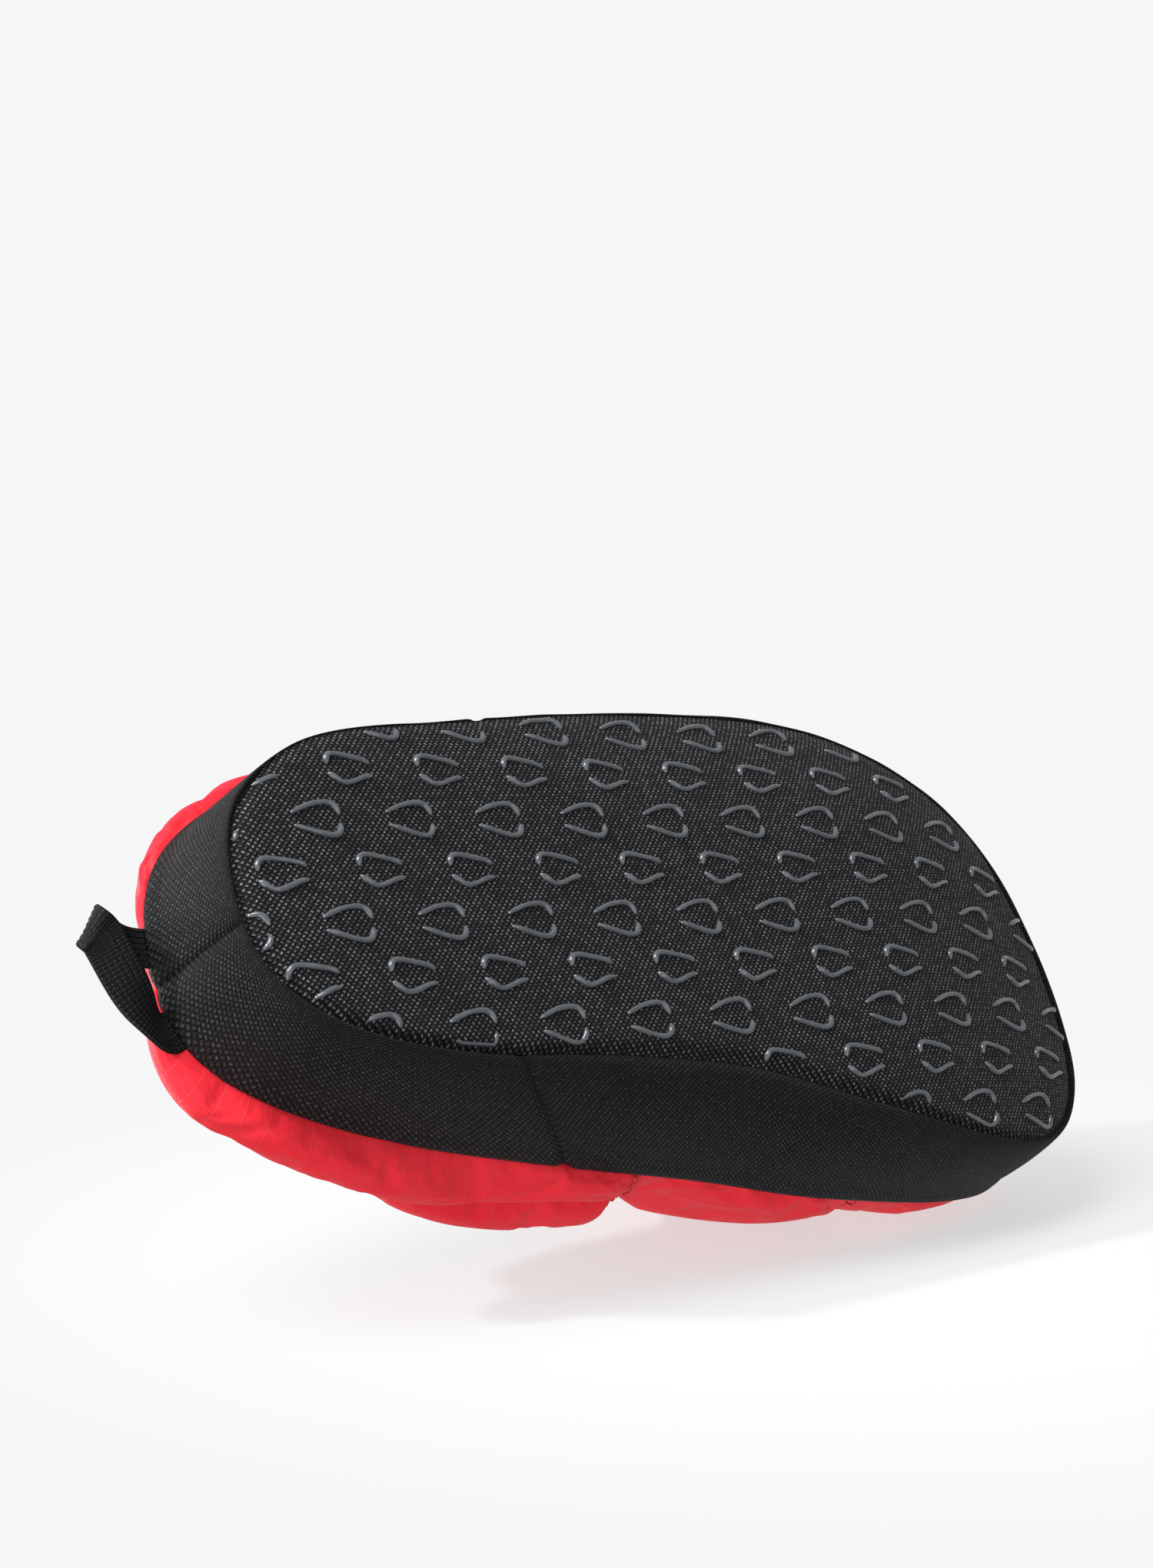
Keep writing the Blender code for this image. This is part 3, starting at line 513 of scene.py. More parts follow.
def woven_polyester(name, turn, dark, light):
    """Textured polyester oxford, piece-dyed: matt yarn bundles with a painted highlight on their crowns.

    Its fibres are drawn about 0.4 mm apart, coarser than real ones, so that they show.
    """
    material, tree, shader = start_finish(
        name, 0.68, Specular_IOR_Level=0.16, Sheen_Weight=0.03, Sheen_Roughness=0.4)
    where = turned_uv(tree, turn)
    height, chance = woven(tree, where, WEAVE)
    fibres = add(tree, "ShaderNodeTexNoise", {"Vector": where, "Scale": 2600.0, "Detail": 2.0}).outputs["Fac"]
    # Painted highlight: the yarns' crowns are painted lighter in the base colour, stronger on some yarns at
    # random.
    crown = add(tree, "ShaderNodeMath", {0: height, 1: 3.4}, operation="POWER").outputs[0]
    glint = add(tree, "ShaderNodeMapRange", {0: chance, 1: 0.25, 2: 1.0, 3: 0.25, 4: 1.0}).outputs[0]
    lit = add(tree, "ShaderNodeMath", {0: crown, 1: glint}, operation="MULTIPLY").outputs[0]
    lit = add(tree, "ShaderNodeMath", {0: lit, 1: fibres}, operation="MULTIPLY").outputs[0]
    lit = add(tree, "ShaderNodeMath", {0: lit, 1: 1.7}, operation="MULTIPLY", use_clamp=True).outputs[0]
    colour = add(tree, "ShaderNodeMix", {0: lit, 6: linear(dark), 7: linear(light)}, data_type="RGBA")
    tree.links.new(colour.outputs[2], shader.inputs["Base Color"])
    bump = add(tree, "ShaderNodeBump", {"Strength": 1.0, "Distance": YARN_RELIEF, "Height": height})
    tree.links.new(bump.outputs[0], shader.inputs["Normal"])
    return material


def ripstop_nylon(name):
    """Calendered ripstop nylon, dyed red: a smooth tight cloth with a raised square grid every 2.4 mm."""
    grid, line = 2.4 * MM, 0.12  # the grid's yarns are 0.12 of its spacing
    material, tree, shader = start_finish(name, 0.5, Specular_IOR_Level=0.14)
    where = turned_uv(tree, 0)
    apart = add(tree, "ShaderNodeSeparateXYZ", {0: where})
    ribs = []
    for axis in ("X", "Y"):
        at = add(tree, "ShaderNodeMath", {0: apart.outputs[axis], 1: grid}, operation="PINGPONG").outputs[0]
        edge = {0: at, 1: grid * line / 2, 2: 0.0, 3: 0.0, 4: 1.0}
        ribs.append(add(tree, "ShaderNodeMapRange", edge).outputs[0])
    rib = add(tree, "ShaderNodeMath", {0: ribs[0], 1: ribs[1]}, operation="MAXIMUM").outputs[0]
    crush = add(tree, "ShaderNodeTexNoise", {
        "Vector": where, "Scale": 260.0, "Detail": 5.0, "Roughness": 0.6, "Distortion": 0.8}).outputs["Fac"]
    shade = add(tree, "ShaderNodeTexNoise", {"Vector": where, "Scale": 28.0, "Detail": 2.0}).outputs["Fac"]
    even = add(tree, "ShaderNodeMix", {0: shade, 6: linear("#DD2330"), 7: linear("#EC2F3C")},
               data_type="RGBA")
    faint = add(tree, "ShaderNodeMath", {0: rib, 1: 0.22}, operation="MULTIPLY").outputs[0]
    colour = add(tree, "ShaderNodeMix", {0: faint, 6: even.outputs[2], 7: linear("#F2606A")},
                 data_type="RGBA")
    tree.links.new(colour.outputs[2], shader.inputs["Base Color"])
    grain = add(tree, "ShaderNodeMapRange", {0: crush, 1: 0.3, 2: 0.7, 3: 0.44, 4: 0.60}).outputs[0]
    tree.links.new(grain, shader.inputs["Roughness"])
    folds = add(tree, "ShaderNodeBump", {"Strength": 0.45, "Distance": 0.9 * MM, "Height": crush}).outputs[0]
    bump = add(tree, "ShaderNodeBump", {"Strength": 0.8, "Distance": 0.08 * MM, "Height": rib,
                                        "Normal": folds})
    tree.links.new(bump.outputs[0], shader.inputs["Normal"])
    return material


def printed_silicone(name):
    """Screen-printed silicone, cured on the cloth: a translucent blue-grey rubber with a wet gloss."""
    material, tree, shader = start_finish(
        name, 0.2, Specular_IOR_Level=0.6, Coat_Weight=0.9, Coat_Roughness=0.04)
    place = add(tree, "ShaderNodeTexCoord").outputs["Object"]
    cloud = add(tree, "ShaderNodeTexNoise", {"Vector": place, "Scale": 420.0, "Detail": 3.0}).outputs["Fac"]
    colour = add(tree, "ShaderNodeMix", {0: cloud, 6: linear("#34393D"), 7: linear("#575D63")},
                 data_type="RGBA")
    tree.links.new(colour.outputs[2], shader.inputs["Base Color"])
    bump = add(tree, "ShaderNodeBump", {"Strength": 0.35, "Distance": 0.25 * MM, "Height": cloud})
    tree.links.new(bump.outputs[0], shader.inputs["Normal"])
    return material


def brushed_fleece(name, dark, light):
    """Brushed polyester fleece: a matt pile of fine fibres, clumped, with a soft rim of sheen."""
    material, tree, shader = start_finish(
        name, 0.95, Specular_IOR_Level=0.15, Sheen_Weight=0.2, Sheen_Roughness=0.5)
    place = add(tree, "ShaderNodeTexCoord").outputs["Object"]
    clumps = add(tree, "ShaderNodeTexVoronoi", {"Vector": place, "Scale": 520.0},
                 feature="SMOOTH_F1").outputs["Distance"]
    pile = add(tree, "ShaderNodeTexNoise", {"Vector": place, "Scale": 1900.0, "Detail": 3.0}).outputs["Fac"]
    colour = add(tree, "ShaderNodeMix", {0: pile, 6: linear(dark), 7: linear(light)}, data_type="RGBA")
    tree.links.new(colour.outputs[2], shader.inputs["Base Color"])
    tufts = add(tree, "ShaderNodeBump", {"Strength": 0.9, "Distance": 0.9 * MM, "Height": clumps})
    bump = add(tree, "ShaderNodeBump", {"Strength": 0.6, "Distance": 0.4 * MM, "Height": pile,
                                        "Normal": tufts.outputs[0]})
    tree.links.new(bump.outputs[0], shader.inputs["Normal"])
    return material


def ribbed_cloth(name, pitch, roughness, dark, light):
    """Ribbed nylon tape or knitted piping: cords side by side, each with its own twist of yarn and a painted
    highlight on its crown.
    """
    material, tree, shader = start_finish(name, roughness, Specular_IOR_Level=0.25)
    where = turned_uv(tree, 0)
    height, chance = woven(tree, where, pitch)
    # Painted highlight: the cords' crowns are painted lighter in the base colour, more in some cells than
    # others at random.
    lit = add(tree, "ShaderNodeMath", {0: height, 1: chance}, operation="MULTIPLY").outputs[0]
    colour = add(tree, "ShaderNodeMix", {0: lit, 6: linear(dark), 7: linear(light)}, data_type="RGBA")
    tree.links.new(colour.outputs[2], shader.inputs["Base Color"])
    bump = add(tree, "ShaderNodeBump", {"Strength": 1.0, "Distance": 0.22 * MM, "Height": height})
    tree.links.new(bump.outputs[0], shader.inputs["Normal"])
    return material


def closed_cell_foam(name, dark, light):
    """Cut closed-cell EVA foam: matt, with open cells of about half a millimetre on the cut face, their
    hollows in painted shade.
    """
    material, tree, shader = start_finish(name, 0.85, Specular_IOR_Level=0.25)
    place = add(tree, "ShaderNodeTexCoord").outputs["Object"]
    cells = add(tree, "ShaderNodeTexVoronoi", {"Vector": place, "Scale": 1900.0}).outputs["Distance"]
    # Painted shade: the middle of each cell, its hollow, is painted darker than its rim.
    colour = add(tree, "ShaderNodeMix", {0: cells, 6: linear(dark), 7: linear(light)}, data_type="RGBA")
    tree.links.new(colour.outputs[2], shader.inputs["Base Color"])
    bump = add(tree, "ShaderNodeBump", {"Strength": 0.6, "Distance": 0.3 * MM, "Height": cells})
    tree.links.new(bump.outputs[0], shader.inputs["Normal"])
    return material


def pressed_fibre_board(name):
    """Pressed cellulose board, uncoated: brown felted fibres lying every way."""
    material, tree, shader = start_finish(name, 0.9, Specular_IOR_Level=0.2)
    place = add(tree, "ShaderNodeTexCoord").outputs["Object"]
    fibres = add(tree, "ShaderNodeTexNoise", {
        "Vector": place, "Scale": 700.0, "Detail": 6.0, "Distortion": 2.5}).outputs["Fac"]
    colour = add(tree, "ShaderNodeMix", {0: fibres, 6: linear("#6E5233"), 7: linear("#A9875C")},
                 data_type="RGBA")
    tree.links.new(colour.outputs[2], shader.inputs["Base Color"])
    bump = add(tree, "ShaderNodeBump", {"Strength": 0.5, "Distance": 0.15 * MM, "Height": fibres})
    tree.links.new(bump.outputs[0], shader.inputs["Normal"])
    return material


def twisted_thread(name, dark, light):
    """Bonded polyester sewing thread: a low satin, with painted shade between the turns of its twist."""
    material, tree, shader = start_finish(name, 0.5, Specular_IOR_Level=0.45)
    place = add(tree, "ShaderNodeTexCoord").outputs["Object"]
    twist = add(tree, "ShaderNodeTexWave", {"Vector": place, "Scale": 500.0, "Distortion": 1.0},
                bands_direction="DIAGONAL").outputs["Fac"]
    # Painted shade: the grooves between the twist's turns are painted darker.
    colour = add(tree, "ShaderNodeMix", {0: twist, 6: linear(dark), 7: linear(light)}, data_type="RGBA")
    tree.links.new(colour.outputs[2], shader.inputs["Base Color"])
    return material


# ---- Sole -----------------------------------------------------------------------------------------------

SOLE_TURN_IN = 2.0 * MM
SOLE_DIP_REACH = 5.0 * MM


def seam_depth(y):
    """How deep outsole and band dip into the seam between them: less on the lateral side."""
    return SOLE_TURN_IN * mix(1.0, 0.3, smooth((-y - 0.015) / 0.020))


def sole_face(x, y, edge):
    """The outsole's underside with its unevenness, dipping into the seam as edge gets near 0."""
    dip = seam_depth(y) * (1 - smooth(edge / SOLE_DIP_REACH)) ** 1.5
    return underside(x, y) + dip + wobble((x, y, 0), 0.022, 0.35 * MM) * smooth(edge / 0.01)


def round_sheet(rim, rings, height):
    """A bmesh of a sheet inside the closed line rim, lower face first, with UVs in metres.

    height(x, y, reach, edge, side) gives its points, reach of the way out and edge metres inside the rim.
    """
    bm = bmesh.new()
    uv = bm.loops.layers.uv.new("metres")
    segments = len(rim)
    layers = []
    for side in (0, 1):
        layer = []
        for ring in range(1, rings + 1):
            reach = math.sin(math.pi / 2 * ring / rings)
            row = []
            for spot in rim:
                x, y = spot * reach
                edge = np.linalg.norm(spot) * (1 - reach)
                row.append(bm.verts.new((x, y, height(x, y, reach, edge, side))))
            layer.append(row)
        centre = bm.verts.new((0, 0, height(0, 0, 0.0, 1.0, side)))
        turned = -1 if side else 1
        for k in range(segments):
            n = (k + 1) % segments
            bm.faces.new((centre, layer[0][k], layer[0][n])[::turned])
            for near, far in zip(layer, layer[1:]):
                bm.faces.new((near[k], far[k], far[n], near[n])[::turned])
        layers.append(layer)
    for k in range(segments):
        n = (k + 1) % segments
        bm.faces.new((layers[0][-1][k], layers[1][-1][k], layers[1][-1][n], layers[0][-1][n]))
    for face in bm.faces:
        for loop in face.loops:
            loop[uv].uv = loop.vert.co[:2]
    return bm


def build_outsole(paint):
    """The outsole's woven sheet, fine enough to dip into its seam, with cloth coordinates along the sole."""
    segments = 300
    rim = [(seam_point(k / segments) - outward(k / segments) * 0.2 * MM)[:2] for k in range(segments)]
    bm = round_sheet(rim, 56, lambda x, y, reach, edge, side: sole_face(x, y, edge) + OUTSOLE_SHEET * side)
    finished("outsole_cloth", bm, paint["outsole"], replaces=("outsole_fabric",))


# The grip prints stand in rows across the sole, every second row shifted by half a print's spacing
PRINT_SPACING = 26.2 * MM
ROW_SPACING = 13.1 * MM
ROW_TURN = math.radians(-5.5)  # of the rows from the slipper's middle line
PRINT_ORIGIN = Vector((-108.5 * MM, 13.7 * MM))
PRINT_WIDTH = 1.35 * MM
PRINT_HEIGHT = 0.75 * MM
# The two strokes of a print in each kind of row, as points in millimetres from the print's middle
ARCH_PRINT = (
    ((-6.2, -1.9), (-3.6, -2.9), (-1.1, -3.7), (1.3, -4.1), (3.3, -4.2), (5.0, -3.7), (5.9, -2.6),
     (6.3, -1.2)),
    ((-6.3, 1.5), (-4.1, 2.3), (-1.8, 3.1), (0.5, 3.8), (2.6, 4.2), (4.4, 3.9), (5.4, 2.8), (5.8, 1.4)),
)
HOOK_PRINT = (
    ((-5.6, -1.4), (-5.2, -3.0), (-4.0, -3.9), (-1.9, -3.9), (0.7, -3.4), (3.4, -2.8), (5.3, -2.2),
     (6.3, -1.5)),
    ((-5.9, 1.4), (-4.6, 2.5), (-3.4, 3.4), (-1.9, 3.8), (0.2, 3.4), (2.5, 2.6), (4.2, 2.1), (6.0, 1.9)),
)


def smooth_path(points, steps):
    """A Catmull-Rom curve through the points."""
    points = [Vector(p) for p in points]
    points = [2 * points[0] - points[1], *points, 2 * points[-1] - points[-2]]
    path = []
    for p0, p1, p2, p3 in zip(points, points[1:], points[2:], points[3:]):
        for k in range(steps):
            t = k / steps
            path.append(0.5 * (2 * p1 + (p2 - p0) * t + (2 * p0 - 5 * p1 + 4 * p2 - p3) * t**2
                               + (3 * p1 - p0 - 3 * p2 + p3) * t**3))
    return path + [points[-2]]


def inside_seam(x, y):
    """How far a point of the sole lies inside its seam."""
    offsets = SEAM[:, :2] - (x, y)
    nearest = int(np.argmin((offsets**2).sum(axis=1)))
    return float(offsets[nearest] @ OUTWARD[nearest])


def build_grip_prints(paint):
    bm = bmesh.new()
    along = Vector((math.cos(ROW_TURN), math.sin(ROW_TURN)))
    across = Vector((-along.y, along.x))
    for row in range(-5, 8):
        strokes = ARCH_PRINT if row % 2 == 0 else HOOK_PRINT
        for column in range(-1, 12):
            shifted = column + 0.5 * (row % 2)
            middle = PRINT_ORIGIN + along * PRINT_SPACING * shifted + across * ROW_SPACING * row
            for number, stroke in enumerate(strokes):
                path = smooth_path([middle + (along * x + across * y) * MM for x, y in stroke], 4)
                seed = row * 7.3 + column * 3.1 + number
                kept = [(k, p) for k, p in enumerate(path) if inside_seam(*p) > 1.6 * MM]
                if len(kept) < 6:
                    continue
                spots, radii = [], []
                for k, p in kept:
                    share = k / (len(path) - 1)
                    ends = min(1.0, 0.62 + min(k - kept[0][0], kept[-1][0] - k) * 0.16)
                    swell = 1 + 0.18 * noise.noise(Vector((share * 4, seed, 0)))
                    thickest = 0.12 if strokes is HOOK_PRINT else 0.8
                    blob = 1 + 0.2 * math.exp(-((share - thickest) / 0.16) ** 2)
                    radii.append(PRINT_WIDTH / 2 * ends * swell * blob)
                    spots.append(Vector((p.x, p.y, sole_face(p.x, p.y, inside_seam(p.x, p.y)) - 0.1 * MM)))
                ups = [Vector((0, 0, -1))] * len(spots)
                first, last = spots[0] - spots[1], spots[-1] - spots[-2]
                tip = PRINT_WIDTH / 4
                spots = [spots[0] + first.normalized() * tip, *spots, spots[-1] + last.normalized() * tip]
                radii = [radii[0] * 0.45, *radii, radii[-1] * 0.45]
                tube_mesh(bm, spots, radii, 10, 2 * PRINT_HEIGHT / PRINT_WIDTH, [ups[0], *ups, ups[-1]])
    finished("grip_prints", bm, paint["silicone"])


# ---- Band -----------------------------------------------------------------------------------------------

BAND_OVERHANG = 0.8 * MM  # the band's folded top edge stands over the upper by this
SEAM_TURN_IN = 1.1 * MM  # how deep the band dips into its own seams
SEAM_REACH = 3.0 * MM


def band_seam(side_x, lateral):
    """The slanting seam across the band: its share round the outline at each turn."""
    low = share_at(side_x, lateral, seam_point)
    high = share_at(side_x + BAND_SEAM_SLANT, lateral, band_top)
    wrap = 1 if lateral else 0
    return lambda turn: mix(low, high, 1 - math.cos(turn * math.pi / 2)) - wrap


def build_band(paint):
    medial, lateral = band_seam(BAND_SEAM_MEDIAL, False), band_seam(BAND_SEAM_LATERAL, True)
    for name, start, end, cells in (
        ("band_cloth_heel_medial", lambda turn: HEEL_SEAM, medial, 70),
        ("band_cloth_heel_lateral", lateral, lambda turn: HEEL_SEAM, 70),
        ("band_cloth_forefoot", medial, lambda turn: lateral(turn) + 1, 300),
    ):
        run = abs(end(0.5) - start(0.5)) * PERIMETER

        def place(a, b, side):
            point, normal = band(mix(start(b), end(b), a), b)
            height = b * BAND_HEIGHT * 1.2
            dip = edge_dip(a, run, SEAM_TURN_IN, SEAM_REACH)
            dip += seam_depth(point[1]) * (1 - smooth(height / SOLE_DIP_REACH)) ** 1.5
            lip = BAND_OVERHANG * smooth((b - 0.86) / 0.12) * (1 - 0.7 * smooth((b - 0.96) / 0.04))
            pucker = wobble(point, 0.016, 0.5 * MM) * min(1.0, 6 * b * (1 - b))
            level = normal * (lip + pucker - dip - BAND_SHEET * side)
            return point + level + UP * BAND_OVERHANG * smooth((b - 0.85) / 0.15)

        bm = closed_sheet(place, (cells, 30), (run, BAND_HEIGHT * 1.25))
        node = name.replace("_cloth", "")
        finished(name, bm, paint["band"], replaces=(node,))


# ---- Upper ----------------------------------------------------------------------------------------------

START_PUFF = 0.86  # the share of the CAD model's puff that the panels start from
PANEL_DIP = 0.9 * MM  # how far the panels' edges sink into their seams
CLOTH_FRAMES = 20
CLOTH_CAP = 4.0 * MM  # no point of the cloth moves further than this


def inflate(piece, cells, held_rows, shrink):
    """Swells a panel's outer face by cloth simulation, with its edges and the rows in held_rows sewn down."""
    across, up = cells
    count = (across + 1) * (up + 1)
    held, tight = piece.vertex_groups.new(name="sewn"), piece.vertex_groups.new(name="gathered")
    for vert in piece.data.vertices:
        i, j = vert.index % (across + 1), vert.index // (across + 1)
        if vert.index >= count or i in (0, across) or j in (0, up) or j in held_rows:
            held.add([vert.index], 1.0, "REPLACE")
            continue
        away = min(i, across - i, min(abs(j - row) for row in (0, up, *held_rows)))
        tight.add([vert.index], max(0.0, 1 - away / 7), "REPLACE")
    start = [vert.co.copy() for vert in piece.data.vertices]
    cloth = piece.modifiers.new("cloth", "CLOTH")
    settings = cloth.settings
    settings.vertex_group_mass = "sewn"
    settings.vertex_group_shrink = "gathered"
    settings.shrink_min, settings.shrink_max = shrink
    settings.quality = 6
    settings.mass = 0.15
    settings.tension_stiffness = settings.compression_stiffness = 18
    settings.shear_stiffness = 8
    settings.bending_stiffness = 0.12
    settings.use_pressure = True
    settings.uniform_pressure_force = 5.0
    settings.effector_weights.gravity = 0.0
    cloth.collision_settings.use_collision = False
    cloth.point_cache.frame_start, cloth.point_cache.frame_end = 1, CLOTH_FRAMES
    scene = bpy.context.scene
    for number in range(1, CLOTH_FRAMES + 1):
        scene.frame_set(number)
    swollen = piece.evaluated_get(bpy.context.evaluated_depsgraph_get()).data
    moved = [vert.co.copy() for vert in swollen.vertices]
    piece.modifiers.remove(cloth)
    scene.frame_set(1)
    for vert, old, new in zip(piece.data.vertices, start, moved):
        step = new - old
        vert.co = old + step * (CLOTH_CAP / max(step.length, CLOTH_CAP))
    piece.vertex_groups.clear()


def panel(name, place, cells, size, paint, replaces, held_rows=(), shrink=(-0.03, -0.09)):
    """A quilted panel of the upper: shell and fill as one swollen pad. Gives its outer grid."""
    piece = finished(name, closed_sheet(place, cells, size), paint["shell"], replaces=replaces)
    inflate(piece, cells, held_rows, shrink)
    across, up = cells
    verts = piece.data.vertices
    grid = [[verts[j * (across + 1) + i].co.copy() for i in range(across + 1)] for j in range(up + 1)]
    smoother = piece.modifiers.new("smooth", "SUBSURF")
    smoother.levels = smoother.render_levels = 1
    return grid


QUARTER_CELLS = (104, 48)
QUILT_ROW = 24  # the row of points that the quilting line holds down
LOWER_CHANNEL = 9.0 * MM  # how far the quarters' lower channel stands out
UPPER_CHANNEL = 11.0 * MM  # and the channel round the collar, which only fills out towards the vamp
LOWER_SHARE_HEEL, LOWER_SHARE_FULLEST = 0.55, 1.2  # of LOWER_CHANNEL, at the heel seam and behind the arch
LOWER_DROP = 0.55  # the share of its height that it has lost at the vamp
UPPER_SHARE_HEEL = 0.16
LATERAL_SHARE_HEEL = 0.15  # the lateral side lies flatter behind the foot


def channel_puff(u, rise):
    """How far the quarter's cloth stands over its stitched-down face before it is swollen."""
    run = quarter_run(u)
    lower = LOWER_CHANNEL * mix(LOWER_SHARE_HEEL, LOWER_SHARE_FULLEST, smooth(run / 0.18))
    lower = lower * (1 - LOWER_DROP * smooth((run - 0.25) / 0.7))
    upper = UPPER_CHANNEL * mix(UPPER_SHARE_HEEL, 1.0, smooth((run - 0.30) / 0.50))
    height, across = (lower, 2 * rise) if rise < 0.5 else (upper, 2 * rise - 1)
    if u < HEEL_SEAM:
        height *= mix(LATERAL_SHARE_HEEL, 1.0, smooth(run / 0.6))
    return height * START_PUFF * pillow(across, 2.4) * pillow(run, 14)


def build_quarters(paint):
    grids = {}
    for name in ("medial", "lateral"):
        ends = (HEEL_SEAM, FRONT_MEDIAL) if name == "medial" else (FRONT_LATERAL, HEEL_SEAM)
        run = abs(ends[1] - ends[0]) * PERIMETER

        def place(a, b, side):
            u = mix(*ends, mix(0.0006, 0.9994, a))
            share = quarter_share(u, b)
            point, normal = quarter(u, share)
            if side:
                return point - normal * fill_depth(share)
            seam = PANEL_DIP * max(1 - 14 * min(a, 1 - a, b, abs(b - 0.5)), 0.0)
            puff = channel_puff(u, b)
            uneven = wobble(point, 0.03, 0.5 * MM, 4.0) * min(puff / (2 * MM), 1)
            return point + normal * (puff - seam + uneven)

        grids[name] = panel(
            f"quarter_{name}", place, QUARTER_CELLS, (run, 0.085), paint,
            (f"shell_quarter_{name}", f"fill_quarter_{name}"), held_rows=(QUILT_ROW,),
        )
    return grids


def build_vamp(paint):
    grids = {}
    for name, rows, height, cells, length in (
        ("vamp", (0.0, VAMP_SEAM), VAMP_PUFF, (40, 120), 0.060),
        ("toe", (VAMP_SEAM, 1.0), TOE_PUFF, (44, 120), 0.070),
    ):
        def place(a, b, side):
            row = mix(*rows, mix(0.001, 0.999, a))
            point, normal = vamp(row, b)
            if side:
                return point - normal * vamp_fill_depth(row, b)
            seam = PANEL_DIP * max(1 - 14 * min(a, 1 - a, b, 1 - b), 0.0)
            puff = height * pillow(a, 2.6) * pillow(b, 8) * START_PUFF
            uneven = wobble(point, 0.03, 0.5 * MM, 9.0) * min(puff / (2 * MM), 1)
            return point + normal * (puff - seam + uneven)

        grids[name] = panel(
            f"{name}_panel", place, cells, (length, 0.17), paint, (f"shell_{name}", f"fill_{name}"),
            shrink=(-0.035, -0.10),
        )
    return grids


# ---- Inside ---------------------------------------------------------------------------------------------


def pile(point, depth):
    """The unevenness of brushed fleece."""
    return wobble(point, 0.0032, depth) + wobble(point, 0.009, depth, 3.0)


LINING_GAP = 0.3 * MM  # between fill and lining


def build_lining(paint):
    """The fleece lining of upper and band, in the CAD model's places."""
    for name, ends in (("medial", (HEEL_SEAM, FRONT_MEDIAL)), ("lateral", (FRONT_LATERAL, HEEL_SEAM))):
        def quarter_place(a, b, side):
            u = mix(*ends, a)
            share = quarter_share(u, mix(0.01, 0.99, b))
            point, normal = quarter(u, share)
            thick = (LINING_SHEET + pile(point, 0.5 * MM)) * side
            return point - normal * (fill_depth(share) + LINING_GAP + thick)

        bm = closed_sheet(quarter_place, (90, 40), (0.16, 0.07))
        finished(f"quarter_lining_{name}", bm, paint["lining"],
                 replaces=(f"lining_quarter_{name}",))

    def vamp_place(a, b, side):
        point, normal = vamp(a, mix(0.003, 0.997, b))
        thick = (LINING_SHEET + pile(point, 0.5 * MM)) * side
        return point - normal * (vamp_fill_depth(a, b) + LINING_GAP + thick)

    bm = closed_sheet(vamp_place, (70, 90), (0.12, 0.16))
    finished("vamp_lining", bm, paint["lining"], replaces=("lining_vamp",))

    depth = BAND_SHEET + BAND_FOAM + 2 * LAYER_GAP
    for name, ends in (("medial", (HEEL_SEAM, TOE_SHARE)), ("lateral", (TOE_SHARE, HEEL_SEAM + 1))):
        def band_place(a, b, side):
            point, normal = band(mix(*ends, a), mix(0.5, 0.99, b))
            return point - normal * (depth + (LINING_SHEET + pile(point, 0.4 * MM)) * side)

        bm = closed_sheet(band_place, (200, 16), (0.34, 0.02))
        finished(f"band_lining_{name}", bm, paint["lining"], replaces=(f"lining_band_{name}",))


def build_footbed(paint):
    """The footbed's fleece face, with its pile and its edge turned down."""
    base = MIDSOLE_TOP + INSOLE_BOARD + FOOTBED_FOAM + 3 * LAYER_GAP
    depth = BAND_SHEET + BAND_FOAM + LINING_SHEET + 4 * LAYER_GAP
    segments = 240
    rim = []
    for k in range(segments):
        u = k / segments
        low, high = seam_point(u), band_top(u)
        share = (MIDSOLE_TOP + LAYER_GAP - (low[2] - sole_height(low[0]))) / (high[2] - low[2])
        turn = math.acos(1 - min(max(share, 0.0), 1.0)) / (math.pi / 2)
        point, normal = band(u, turn)
        rim.append((point - outward(u) * depth / max(math.hypot(normal[0], normal[1]), 0.6))[:2])

    def height(x, y, reach, edge, side):
        if not side:
            return sole_height(x) + base + 0.4 * MM
        rolled = 0.6 * MM * smooth(8 * (reach - 0.88))  # the fleece turns down at its edge
        return sole_height(x) + base + FOOTBED_FLEECE + pile((x, y, 0), 0.5 * MM) - rolled

    bm = round_sheet(rim, 44, height)
    finished("footbed_pile", bm, paint["fleece"], replaces=("footbed_fleece",))


# ---- Collar binding -------------------------------------------------------------------------------------


COLLAR_PARTS = (0.36, 0.28, 0.36)  # shares of the binding on the medial quarter, vamp and lateral quarter


def collar_point(along):
    """(point, normal, up) on the collar's edge: along 0 at the heel seam, and 1 back there."""
    sweep = (FRONT_MEDIAL - HEEL_SEAM, 1 - 2 * COLLAR_ANGLE / math.pi, HEEL_SEAM - FRONT_LATERAL)
    medial, vamp_edge, lateral = COLLAR_PARTS
    if along < medial:
        u = HEEL_SEAM + sweep[0] * along / medial
        edge, below = quarter(u, 1.0), quarter(u, 0.97)
    elif along < medial + vamp_edge:
        across = COLLAR_ANGLE / math.pi + sweep[1] * (along - medial) / vamp_edge
        edge, below = vamp(0.0, across), vamp(0.03, across)
    else:
        u = FRONT_LATERAL + sweep[2] * (along - medial - vamp_edge) / lateral
        edge, below = quarter(u, 1.0), quarter(u, 0.97)
    up = edge[0] - below[0]
    return edge[0], edge[1], up / np.linalg.norm(up)


